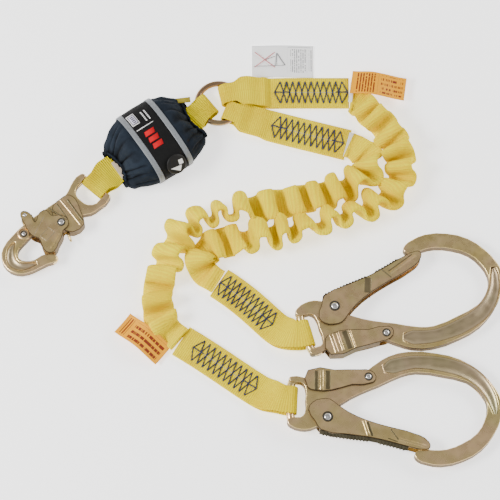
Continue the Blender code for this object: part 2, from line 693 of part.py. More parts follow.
def limb_point(place, angle, sideways):
    """The webbing's middle on a hook's limb, a little to one side of the hook's own axis."""
    return Vector(place) + direction(angle + 90) * sideways


def layers(middle, half, keys):
    """Height keys of the lower and the upper layer, from the fold outward."""
    low = [(0, middle - half)] + [(s, a) for s, a, _ in keys]
    high = [(0, middle + half)] + [(s, b) for s, _, b in keys]
    return low, high


def build_ring():
    bpy.ops.mesh.primitive_torus_add(major_segments=32, minor_segments=8, major_radius=RING_RADIUS * MM,
                                     minor_radius=RING_WIRE * MM)
    ring = bpy.context.object
    ring.name = "connector_ring"
    for group in list(ring.users_collection):
        group.objects.unlink(ring)
    PARTS.objects.link(ring)
    ring.parent = add_empty("ring_axis", LANYARD, (*RING_CENTRE, RING_HEIGHT))
    ring.data.materials.append(MATERIALS["zinc_steel"])
    smooth(ring, 60)


def build_absorber_loops():
    """The two short loops that leave the pack: one to the snap hook, one to the ring."""
    way = direction(PACK_ANGLE)
    across = Vector((-way.y, way.x))
    stack = PACK_STATIONS[0][3]
    low, high = stack - LAYER_STEP / 2, stack + LAYER_STEP / 2

    limb = limb_point(SNAP_PLACE, SNAP_ANGLE, 4.5)
    end = Vector(PACK_CENTRE) - way * PACK_INSIDE
    path = bezier_path(limb, SNAP_ANGLE + 180, 20, end, PACK_ANGLE, 26)
    length = path_length(path)
    heights = layers(SNAP_HEIGHT, 5.6, [(10, SNAP_HEIGHT - 4.8, SNAP_HEIGHT + 5.4), (length - 22, low, high)])
    webbing_loop("absorber_loop_snap_side", path, heights, ((0, 27), (6, 27), (20, WEB_WIDTH)), 5.6,
                 "yellow_webbing", step=7.0)

    fold = Vector(RING_CENTRE) - way * 11.5 + across * 4.0
    end = Vector(PACK_CENTRE) + way * PACK_INSIDE
    path = bezier_path(fold, PACK_ANGLE + 183, 12, end, PACK_ANGLE + 180, 22)
    length = path_length(path)
    heights = layers(RING_HEIGHT, 4.7, [(17, RING_HEIGHT - 4.6, RING_HEIGHT + 4.8), (22, low - 1, high + 0.8),
                                        (length - 14, low, high)])
    webbing_loop("absorber_loop_ring_side", path, heights, ((0, 26), (12, 26), (32, WEB_WIDTH)), 4.7,
                 "yellow_webbing", step=7.0)

    start = Vector(PACK_CENTRE) - way * (PACK_STATIONS[-1][0] + 1)
    flat_label("absorber_wear_pad", start, PACK_ANGLE, *PAD_SIZE, ((0, low - 1.9), (1, low - 1.9)),
               "beige_webbing")


def build_leg(leg, ring_path, ring_heights, ring_fold, ring_widths, stitch_start, hook_path, hook_height):
    low, high = FLOOR_LAYER, FLOOR_LAYER + LAYER_STEP
    thread = high + WEB_THICK / 2 + THREAD_RADIUS + 0.3
    webbing_loop(f"leg_{leg}_ring_end", ring_path, ring_heights, ring_widths, ring_fold, "yellow_webbing")
    stitching(f"leg_{leg}_ring_stitching", ring_path, stitch_start, thread)
    heights = layers(hook_height, 6.1, [(9, hook_height - 5.6, hook_height + 5.6), (38, low, high)])
    webbing_loop(f"leg_{leg}_hook_end", hook_path, heights, ((0, 29), (8, 29), (26, WEB_WIDTH)), 6.1,
                 "yellow_webbing")
    stitching(f"leg_{leg}_hook_stitching", hook_path, 39.0, thread)


def build_legs():
    """Leg A's ring loop goes round leg B's, and the two part before leg A's layers are sewn."""
    low, high = FLOOR_LAYER, FLOOR_LAYER + LAYER_STEP
    path = bezier_path(ring_point(9.1, 9.5), 14, 24, ring_point(141, 14.3), 0, 60)
    heights = layers(RING_HEIGHT, 7.1, [(12, low, RING_HEIGHT + 7.2), (22, low, RING_HEIGHT + 7.2),
                                        (37, low, low + 3 * LAYER_STEP + 0.7),
                                        (40, low, low + 3 * LAYER_STEP + 0.7), (47, low, high)])
    hook = bezier_path(limb_point(REBAR_A_PLACE, REBAR_A_ANGLE, 0.6), REBAR_A_ANGLE + 180, 28,
                       (-32.4, -33.0), 180 - 33, 62)
    build_leg("a", path, heights, 7.1, ((0, 22), (7, 22), (18, 33), (37, 33), (48, WEB_WIDTH)), 51.5,
              hook, REBAR_HEIGHT)
    sleeve_and_core("a", SLEEVE_A_ROUTE)

    path = bezier_path(ring_point(11.5, -10.0), -22, 24, ring_point(139, -46.5), -15, 60)
    heights = layers(RING_HEIGHT, 4.7, [(12, RING_HEIGHT - 4.6, RING_HEIGHT + 4.7),
                                        (26, low + LAYER_STEP + 0.1, low + 2 * LAYER_STEP + 0.1),
                                        (36, low + LAYER_STEP + 0.1, low + 2 * LAYER_STEP + 0.1),
                                        (47, low, high)])
    hook = bezier_path(limb_point(REBAR_B_PLACE, REBAR_B_ANGLE, -1), REBAR_B_ANGLE + 180, 24,
                       (-72.0, -97.0), 180 - 31.5, 66)
    build_leg("b", path, heights, 4.7, ((0, 22), (7, 22), (18, 33), (37, 33), (48, WEB_WIDTH)), 48.0,
              hook, REBAR_HEIGHT)
    sleeve_and_core("b", SLEEVE_B_ROUTE)

    flat_label("care_label", (2.0, 222.2), 0, 67, 38, ((0, 2.6), (67, 2.6)), "white_label")
    flat_label("orange_label_a", (109.5, 194.5), -8, 59, 26, ((0, 10), (22, 15), (59, 8)), "orange_label")
    flat_label("orange_label_b", (-90.0, -113.5), 141, 56, 26, ((0, 4), (28, 14), (56, 6)), "orange_label")


LANYARD = add_empty("lanyard", None, (*LAYOUT_OFFSET, 0))
PACK = add_empty("absorber_frame", LANYARD, (*PACK_CENTRE, 0),
                 Matrix.Rotation(math.radians(PACK_ANGLE), 3, "Z"))
build_pack()
build_absorber_loops()
build_ring()
build_legs()
build_snap_hook()
build_rebar_hook("a", REBAR_A_PLACE, REBAR_A_ANGLE, -1)
build_rebar_hook("b", REBAR_B_PLACE, REBAR_B_ANGLE, 1)
bpy.context.view_layer.update()
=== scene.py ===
"""Looks of the twin-leg shock absorbing lanyard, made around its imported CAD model.

Lengths are in millimetres unless a name says otherwise, and every mesh is made in metres.
Plan points are in the layout's own frame, whose origin the connector ring's joint gives.
"""

import json
import math

import bmesh
import bpy
import numpy as np
from mathutils import Matrix, Vector, noise


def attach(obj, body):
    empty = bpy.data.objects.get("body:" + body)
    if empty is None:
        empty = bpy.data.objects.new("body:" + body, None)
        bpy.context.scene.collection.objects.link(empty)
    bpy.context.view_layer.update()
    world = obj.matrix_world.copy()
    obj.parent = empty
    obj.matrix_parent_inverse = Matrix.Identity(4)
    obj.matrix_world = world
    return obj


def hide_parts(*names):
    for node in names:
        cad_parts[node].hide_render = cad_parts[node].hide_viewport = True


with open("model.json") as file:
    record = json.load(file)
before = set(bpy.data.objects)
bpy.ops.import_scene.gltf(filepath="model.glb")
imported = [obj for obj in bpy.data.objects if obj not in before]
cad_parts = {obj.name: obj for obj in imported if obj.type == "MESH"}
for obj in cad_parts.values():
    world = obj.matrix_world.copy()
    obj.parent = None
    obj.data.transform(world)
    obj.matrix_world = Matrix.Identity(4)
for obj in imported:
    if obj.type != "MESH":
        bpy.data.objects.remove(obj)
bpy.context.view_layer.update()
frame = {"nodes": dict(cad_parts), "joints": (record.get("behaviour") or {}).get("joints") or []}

MM = 0.001
JOINTS = {joint["name"]: joint for joint in frame["joints"]}
RING_CENTRE = (-34.0, 170.5)
LAYOUT = Vector(JOINTS["ring_spin"]["pos_m"]) / MM - Vector((*RING_CENTRE, 0))
LAYOUT.z = 0.0
FACES = (("top", 1), ("under", -1))     # a hook's two faces, and the sign of their height

# --- camera, in metres and degrees ---
CAMERA_LENS = 180.0
CAMERA_ELEVATION = 70.0
SEEN_WIDTH = 0.527
AIM_HEIGHT = 0.014

# --- webbing, as in the CAD model ---
WEB_WIDTH = 35.0
WEB_THICK = 2.0
LAYER_STEP = 2.5
FLOOR_LAYER = 1.3
RIB_PITCH = 2.2                   # transverse ribs of the legs' webbing
LOOP_RIB_PITCH = 2.1              # and of the absorber's own webbing, whose ribs are deeper
WARP_PITCH = 1.1                  # fine lines along every strap
ROW_STEP = 1.0
STITCH_WIDTH = 25.5
STITCH_LENGTH = 80.0
STITCH_PEAKS = 12
THREAD_RADIUS = 0.72
STRAP_RIPPLE = 0.18

# --- elastic legs ---
SLEEVE_TAPER = 30.0
RIBBON_WIDTH = 33.0
RIBBON_THICK = 5.0
RUFFLE_PITCH = 25.0
RUFFLE_DEPTH = 9.6
SLEEVE_A_ROUTE = ((109.4, 176.8), (113.8, 175.5), (121, 169), (128, 159), (137, 149), (147, 135), (156, 118),
                  (161, 100), (160, 83), (153, 67), (140, 56), (126, 49), (111, 42), (98, 37.5), (84, 33),
                  (69, 29), (53, 25.5), (35, 21.5), (17, 18), (0, 15.5), (-15, 12.5), (-29, 9), (-43, 3.5),
                  (-51.5, -6), (-51, -17.5), (-43.5, -26), (-33.6, -32.2))
SLEEVE_B_ROUTE = ((106.6, 123.5), (114, 119.5), (122, 111), (126.5, 100), (126, 89), (120, 80), (110, 74),
                  (98, 70), (84, 66), (69, 62), (53, 58), (37, 54), (19, 50.5), (4, 47.5), (-11, 45),
                  (-25, 42.5), (-40, 39), (-54, 34), (-66, 25.5), (-76, 13), (-84, -2), (-91, -20),
                  (-95.5, -39), (-96.5, -56), (-94, -71), (-87, -84.5), (-73.4, -96.2))
HOOK_END_A = (-32.4, -33.0)       # where each hook end's strap meets its sleeve
HOOK_END_B = (-72.0, -97.0)

# --- steel ---
RING_RADIUS = 23.0
RING_WIRE = 3.2
RING_HEIGHT = 8.4
REBAR_HALF = 5.5
REBAR_PLATE_TOP = 7.7
SNAP_HALF = 5.0
SNAP_LEVER_TOP = 6.6
SNAP_GATE_TOP = 8.3
SNAP_ANGLE = -130.8
SNAP_HEIGHT = 10.0
REBAR_A_ANGLE = 18.0
REBAR_B_ANGLE = -1.0
REBAR_HEIGHT = 12.3
REBAR_REACH = 219.0
GRIP_PITCH = 3.5                  # the ribs along a rebar gate's outer wall
# width of the painted shade line along a plate's outline
OUTLINE_SHADE_WIDTH = 0.75
# A rivet's parts: name, material, and points (share of the head's radius, height above the plate); the seat's
# dark steel is painted shade round the head.
RIVET_PARTS = (
    ("head", "rivet", ((0.0, 1.25), (0.3, 1.22), (0.55, 1.0), (0.75, 0.6), (0.8, 0.1), (0.8, -0.4))),
    ("seat_shade", "seat_shade", ((0.82, 0.12), (0.95, 0.3), (1.12, 0.36), (1.22, 0.15), (1.25, -0.3))))

# Outlines in a hook's own plan: X from its eye to its bowl, and a rebar hook's gate towards -Y.
SNAP_PIVOT = (55, 6)
SNAP_STOP = (90, -16)
SNAP_EAR = (74.5, -28.5)
SNAP_NOSE = (89.5, 25.6)
SNAP_LIMB = ((12, -13.4), (4, -13.2), (0.6, -10.5), (0, -6), (0, 15), (0.6, 19.5), (4, 22), (12, 22))
# A channel's middle line on a body's face, with its half width at each point.
SNAP_CHANNEL = ((103.5, -17.4, 2.0), (112, -14.2, 3.6), (118.6, -8.3, 4.6), (121.4, -1.5, 4.8),
                (119, 6.4, 4.3), (112, 12.4, 3.4), (105.5, 16.2, 1.6))
# Pressed ribs and bands: start, end, width, height, material. Bands in the darker steels are painted shade
# where the plate is pressed.
SNAP_GATE_RIDGES = (((52, -16), (49.5, 9), 1.4, 0.5, "shadow_band"), ((66, 12.6), (85, 17.3), 2.0, 0.7, "zinc"),
                    ((68, 0), (68, 8.5), 0.9, 0.4, "zinc_hollow_shade"), ((81, 0), (81, 8.5), 0.9, 0.4, "zinc_hollow_shade"),
                    ((67.6, 8.5), (81.4, 8.5), 0.9, 0.4, "zinc_hollow_shade"),
                    ((67.6, 0), (81.4, 0), 0.9, 0.4, "zinc_hollow_shade"),
                    ((63, -12), (84, -6), 1.2, 0.4, "zinc_hollow_shade"),
                    ((72, -16), (69.5, -24), 1.0, 0.4, "shadow_band"))
SNAP_LEVER_RIDGES = (((36, -12), (43, 23), 4.2, 1.2, "zinc"),
                     ((31.5, -7), (38.5, 21.5), 2.2, 0.5, "shadow_band"),
                     ((42.5, -12), (47.5, 8), 1.6, 0.4, "shadow_band"))
REBAR_PIVOT = (38, -19)
REBAR_LOCK_PIVOT = (80, 25)
REBAR_LIMB = ((12, -25.5), (4, -24.8), (0.8, -21.5), (0, -17), (0, 14), (0.8, 18), (4, 20.5), (12, 20.5))
REBAR_CHANNEL = ((96, 34.4, 8.4), (112, 39.6, 7.6), (130, 42.9, 7.0), (155, 41.3, 7.9), (178, 35.4, 7.6),
                 (194, 25.4, 6.6), (205, 11.3, 5.4), (210.2, -3, 4.2), (211.6, -11, 2.2))
REBAR_SPINE = ((30, -33.6), (55, -37.4), (79, -39.9), (100, -43.9), (121, -49.2))
REBAR_GATE_RIDGES = {
    "a": (((81.5, -38), (75.5, -22.5), 8.0, 0.5, "shadow_band"), ((98, -42), (105, -31), 1.6, 0.6, "shadow_band"),
          ((105, -36), (137, -47), 3.0, 0.9, "zinc"), ((104, -38.5), (134, -49), 1.2, 0.5, "shadow_band")),
    "b": (((84, -38.6), (79, -23.6), 3.4, 0.4, "shadow_band"), ((80, -37.6), (75, -22.2), 4.4, 1.2, "zinc"),
          ((103, -31), (111, -42), 1.8, 0.5, "shadow_band"), ((111, -41), (139, -48), 3.4, 0.9, "zinc"),
          ((100, -40.5), (110, -44), 1.2, 0.4, "shadow_band"))}
REBAR_LEVER_RIDGES = {
    "a": (((24, 9.5), (24, 30), 5.0, 1.1, "zinc"), ((31, 9.8), (31, 30), 3.2, 0.9, "zinc"),
          ((38.5, 10.2), (38.5, 30.4), 7.0, 0.5, "shadow_band"), ((44, 11), (44, 30.6), 2.4, 0.9, "zinc")),
    "b": (((26, 9.5), (26, 30), 4.6, 0.5, "shadow_band"), ((31.5, 9.8), (31.5, 30), 4.6, 1.2, "zinc"),
          ((38, 10.2), (38, 30.4), 5.8, 0.5, "shadow_band"))}

CARE_LABEL_START = (2.0, 222.2)
# Lines of the plain diagram on the care label, from its start: start, end, width, colour.
CARE_LINES = (((3, 11), (25, -7), 0.7, "red_print"), ((3, -7), (25, 11), 0.7, "red_print"),
              ((2, -6), (36, -4.5), 0.5, "ink_grey"), ((26, -5), (27, 10), 0.9, "ink_grey"),
              ((27, 10), (36, -4.5), 0.9, "ink_grey"), ((14, 2), (25, 6), 0.6, "ink_grey"))

# --- absorber pack ---
PACK_CENTRE = (-102.0, 120.8)
PACK_ANGLE = 34.5
PACK_STATIONS = ((-50, 25, 11, 12.5), (-47, 28, 13, 14.5), (-38, 34, 17.5, 18.8), (-29, 39, 20.5, 21.6),
                 (-22, 42, 21, 22.2), (0, 43, 21, 22.2), (22, 42, 21, 22.2), (29, 39, 20.5, 21.6),
                 (38, 34, 17.5, 18.8), (47, 28, 13, 14.5), (50, 25, 11, 12.5))
PACK_SQUARENESS = 2.4
PACK_INSIDE = 31.0                # how far inside the pack its two loops end
BAND_HALF = 15.0
STRIPE = (15.4, 21.0)


# --- Camera, floor and lights ---
def place_object(name, data):
    """A new object in the scene."""
    obj = bpy.data.objects.new(name, data)
    bpy.context.scene.collection.objects.link(obj)
    return obj


def make_camera():
    data = bpy.data.cameras.new("camera")
    data.lens = CAMERA_LENS
    camera = place_object("camera", data)
    bpy.context.scene.camera = camera
    elevation = math.radians(CAMERA_ELEVATION)
    distance = SEEN_WIDTH * data.lens / data.sensor_width
    back = Vector((0, -math.cos(elevation), math.sin(elevation)))
    camera.location = LAYOUT * MM + Vector((0, 0, AIM_HEIGHT)) + back * distance
    camera.rotation_euler = (-back).to_track_quat("-Z", "Y").to_euler()


def make_floor():
    """White paper that glows a little, as a lit table does."""
    bpy.ops.mesh.primitive_plane_add(size=8.0, location=(0, 0, -0.0002))
    floor = bpy.context.object
    floor.name = "floor"
    mat, tree, shader = new_material("floor_paper", (0.93, 0.93, 0.93), 0.9, Emission_Strength=1.35)
    shader.inputs["Emission Color"].default_value = (1.0, 1.0, 1.0, 1.0)
    tint = ramp(tree, noise_value(tree, scale=3.0), [(0.3, (0.93, 0.93, 0.93)), (0.7, (0.95, 0.95, 0.95))])
    tree.links.new(tint, shader.inputs["Base Color"])
    floor.data.materials.append(mat)


def area_light(name, place, size, power):
    """A rectangular light that faces the origin."""
    data = bpy.data.lights.new(name, "AREA")
    data.shape = "RECTANGLE"
    data.size, data.size_y = size
    data.energy = power
    light = place_object(name, data)
    light.location = place
    light.rotation_euler = (-Vector(place)).to_track_quat("-Z", "Y").to_euler()


def make_lights():
    """A bright studio with pale walls, and a darker belt overhead, so that steel shows its edges."""
    world = bpy.data.worlds.new("studio")
    bpy.context.scene.world = world
    world.use_nodes = True
    tree = world.node_tree
    split = tree.nodes.new("ShaderNodeSeparateXYZ")
    tree.links.new(tree.nodes.new("ShaderNodeTexCoord").outputs["Generated"], split.inputs[0])
    sky = ramp(tree, split.outputs[2], [(0.0, (0.95, 0.94, 0.92)), (0.45, (1.0, 1.0, 1.0)),
                                        (0.70, (0.72, 0.71, 0.70)), (0.84, (0.26, 0.25, 0.24)),
                                        (0.93, (0.46, 0.45, 0.44)), (0.97, (0.56, 0.55, 0.54)),
                                        (1.0, (0.75, 0.75, 0.75))])
    tree.links.new(sky, tree.nodes["Background"].inputs["Color"])
    area_light("key", (-1.2, -0.25, 1.15), (0.8, 0.5), 34.0)
    area_light("fill", (1.2, 0.6, 0.9), (1.0, 0.5), 14.0)


# --- Material helpers ---
def new_material(name, colour, roughness, metallic=0.0, **sockets):
    """A Principled material. Sockets are named with _ for a space, such as Sheen_Weight."""
    mat = bpy.data.materials.new(name)
    mat.use_nodes = True
    tree = mat.node_tree
    shader = tree.nodes["Principled BSDF"]
    shader.inputs["Base Color"].default_value = (*colour, 1.0)
    shader.inputs["Roughness"].default_value = roughness
    shader.inputs["Metallic"].default_value = metallic
    for socket, value in sockets.items():
        shader.inputs[socket.replace("_", " ")].default_value = value
    return mat, tree, shader


def feed(tree, socket, value):
    """Link a socket to another node's output, or set it to a plain value."""
    if isinstance(value, bpy.types.NodeSocket):
        tree.links.new(value, socket)
    else:
        socket.default_value = value


def math_node(tree, operation, a, b=0.0, c=0.0):
    node = tree.nodes.new("ShaderNodeMath")
    node.operation = operation
    for socket, value in zip(node.inputs, (a, b, c)):
        feed(tree, socket, value)
    return node.outputs[0]


def object_place(tree):
    return tree.nodes.new("ShaderNodeTexCoord").outputs["Object"]


def weave_place(tree):
    """Along, across and a free third value, in millimetres, from the mesh's own weave attribute."""
    attribute = tree.nodes.new("ShaderNodeAttribute")
    attribute.attribute_name = "weave"
    split = tree.nodes.new("ShaderNodeSeparateXYZ")
    tree.links.new(attribute.outputs["Vector"], split.inputs[0])
    return split.outputs[0], split.outputs[1], split.outputs[2]


def noise_value(tree, scale, detail=2.0, roughness=0.5, vector=None):
    texture = tree.nodes.new("ShaderNodeTexNoise")
    texture.inputs["Scale"].default_value = scale
    texture.inputs["Detail"].default_value = detail
    texture.inputs["Roughness"].default_value = roughness
    tree.links.new(vector or object_place(tree), texture.inputs["Vector"])
    return texture.outputs["Fac"]


def ramp(tree, value, stops):
    node = tree.nodes.new("ShaderNodeValToRGB")
    feed(tree, node.inputs[0], value)
    elements = node.color_ramp.elements
    while len(elements) < len(stops):
        elements.new(0.5)
    for element, (place, colour) in zip(elements, stops):
        element.position = place
        element.color = (*colour, 1.0)
    return node.outputs["Color"]


def mix_colour(tree, amount, a, b):
    node = tree.nodes.new("ShaderNodeMix")
    node.data_type = "RGBA"
    feed(tree, node.inputs["Factor"], amount)
    for socket, colour in ((node.inputs[6], a), (node.inputs[7], b)):
        feed(tree, socket, colour if isinstance(colour, bpy.types.NodeSocket) else (*colour, 1.0))
    return node.outputs[2]


def ridges(tree, value, pitch):
    """A wave from 0 to 1 across `value`, once every `pitch`."""
    wave = math_node(tree, "SINE", math_node(tree, "MULTIPLY", value, 2 * math.pi / pitch))
    return math_node(tree, "MULTIPLY_ADD", wave, 0.5, 0.5)


def surface(tree, shader, colour, height, strength, distance):
    """Link a colour to the shader, and a height in metres through a bump node."""
    tree.links.new(colour, shader.inputs["Base Color"])
    node = tree.nodes.new("ShaderNodeBump")
    node.inputs["Strength"].default_value = strength
    node.inputs["Distance"].default_value = distance
    tree.links.new(height, node.inputs["Height"])
    tree.links.new(node.outputs[0], shader.inputs["Normal"])


# --- Materials ---
def webbing_material(name, light, dark, pitch=RIB_PITCH, rib_depth=0.4):
    """Woven polyester: ribs across the strap, fine warp lines along it, a soft colour drift, and painted
    shade in the ribs' hollows.
    """
    mat, tree, shader = new_material(name, light, 0.7, Specular_IOR_Level=0.05)
    along, across, _ = weave_place(tree)
    ribs = ridges(tree, along, pitch)
    lines = ridges(tree, across, WARP_PITCH)
    grain = noise_value(tree, 900.0, 3.0)
    drift = noise_value(tree, 28.0)
    shade = math_node(tree, "MULTIPLY_ADD", drift, 0.5, math_node(tree, "MULTIPLY", grain, 0.5))
    colour = ramp(tree, shade, [(0.36, dark), (0.56, light)])
    centre = math_node(tree, "COMPARE", across, 0.0, 0.35)
    colour = mix_colour(tree, math_node(tree, "MULTIPLY", centre, 0.35), colour, dark)
    # painted shade: the colour darkens toward the dark tone in the hollows between the ribs
    rib_hollow_shade = math_node(tree, "MULTIPLY", math_node(tree, "SUBTRACT", 1.0, ribs), 0.8)
    height = math_node(tree, "MULTIPLY_ADD", lines, 0.25, ribs)
    height = math_node(tree, "MULTIPLY_ADD", grain, 0.5, height)
    surface(tree, shader, mix_colour(tree, rib_hollow_shade, colour, dark), height, 1.0, rib_depth * MM)
    return mat


def cloth_material(name, light, dark, roughness=0.85, thread=0.5):
    """A fine plain weave: two crossed sets of threads, a slow drift of tone, and painted shade in its
    creases.
    """
    mat, tree, shader = new_material(name, light, roughness, Specular_IOR_Level=0.15)
    along, across, stand = weave_place(tree)
    cloth = math_node(tree, "MULTIPLY", ridges(tree, along, thread), ridges(tree, across, thread))
    drift = noise_value(tree, 40.0, 4.0, 0.6)
    colour = ramp(tree, drift, [(0.35, dark), (0.65, light)])
    # painted shade: where the cloth is drawn in, its colour darkens toward a third of the dark tone
    sunk = math_node(tree, "MULTIPLY", stand, -0.3)
    crease_shade = ramp(tree, sunk, [(0.05, (0, 0, 0)), (0.75, (1, 1, 1))])
    colour = mix_colour(tree, crease_shade, colour, tuple(c * 0.3 for c in dark))
    height = math_node(tree, "MULTIPLY_ADD", noise_value(tree, 350.0, 3.0), 1.2, cloth)
    surface(tree, shader, colour, height, 0.5, 0.00012)
    return mat


def steel_material(name, stops, roughness):
    """Plated steel: slow drifts of hue, roughness that varies, and a fine forged grain."""
    mat, tree, shader = new_material(name, stops[0][1], roughness[0], 1.0)
    colour = ramp(tree, noise_value(tree, 22.0), stops)
    low, high = ((value,) * 3 for value in roughness)
    rough = ramp(tree, noise_value(tree, 120.0, 4.0), [(0.3, low), (0.7, high)])
    tree.links.new(rough, shader.inputs["Roughness"])
    surface(tree, shader, colour, noise_value(tree, 1400.0, 4.0, 0.6), 0.2, 0.00008)
    return mat


def reflective_material():
    """Tape whose face is packed with glass beads."""
    mat, tree, shader = new_material("reflective_tape", (0.3, 0.31, 0.33), 0.42)
    beads = tree.nodes.new("ShaderNodeTexVoronoi")
    beads.inputs["Scale"].default_value = 1300.0
    tree.links.new(object_place(tree), beads.inputs["Vector"])
    depth = beads.outputs["Distance"]
    tone = ramp(tree, depth, [(0.0, (0.25, 0.265, 0.28)), (0.75, (0.14, 0.15, 0.16))])
    surface(tree, shader, tone, depth, 0.4, -0.0001)
    return mat


def plain_material(name, colour, roughness, drift=0.12, scale=60.0, **sockets):
    """One colour with a slight drift of tone and a fine surface."""
    mat, tree, shader = new_material(name, colour, roughness, **sockets)
    dark = tuple(c * (1 - drift) for c in colour)
    light = tuple(min(1.0, c * (1 + drift)) for c in colour)
    tone = ramp(tree, noise_value(tree, scale, 4.0), [(0.3, dark), (0.7, light)])
    surface(tree, shader, tone, noise_value(tree, scale * 20, 3.0), 0.25, 0.0001)
    return mat


def print_rows(tree, run, stack, pitch, share, run_range, stack_range):
    """Rows of plain bars that stand for text: they run along `run` and are stacked along `stack`."""
    rows = math_node(tree, "GREATER_THAN", ridges(tree, stack, pitch), 0.5)
    index = math_node(tree, "FLOOR", math_node(tree, "DIVIDE", stack, pitch))
    place = tree.nodes.new("ShaderNodeCombineXYZ")
    tree.links.new(math_node(tree, "MULTIPLY", run, 0.75), place.inputs[0])
    tree.links.new(math_node(tree, "MULTIPLY", index, 7.3), place.inputs[1])
    words = math_node(tree, "LESS_THAN", noise_value(tree, 1.0, 1.0, vector=place.outputs[0]), share)
    printed = math_node(tree, "MULTIPLY", rows, words)
    for value, (low, high) in ((run, run_range), (stack, stack_range)):
        near = math_node(tree, "COMPARE", value, (low + high) / 2, (high - low) / 2)
        printed = math_node(tree, "MULTIPLY", printed, near)
    return printed


def printed_material(name, paper, ink, blocks):
    """A label with blocks of bars. Each block is (runs along?, pitch, share, run range, stack range)."""
    mat, tree, shader = new_material(name, paper, 0.5, Specular_IOR_Level=0.2)
    along, across, _ = weave_place(tree)
    colour = ramp(tree, noise_value(tree, 50.0, 3.0), [(0.3, tuple(c * 0.94 for c in paper)), (0.7, paper)])
    for lengthwise, *block in blocks:
        run, stack = (along, across) if lengthwise else (across, along)
        colour = mix_colour(tree, print_rows(tree, run, stack, *block), colour, ink)
    surface(tree, shader, colour, noise_value(tree, 500.0, 3.0), 0.2, 0.0001)
    return mat


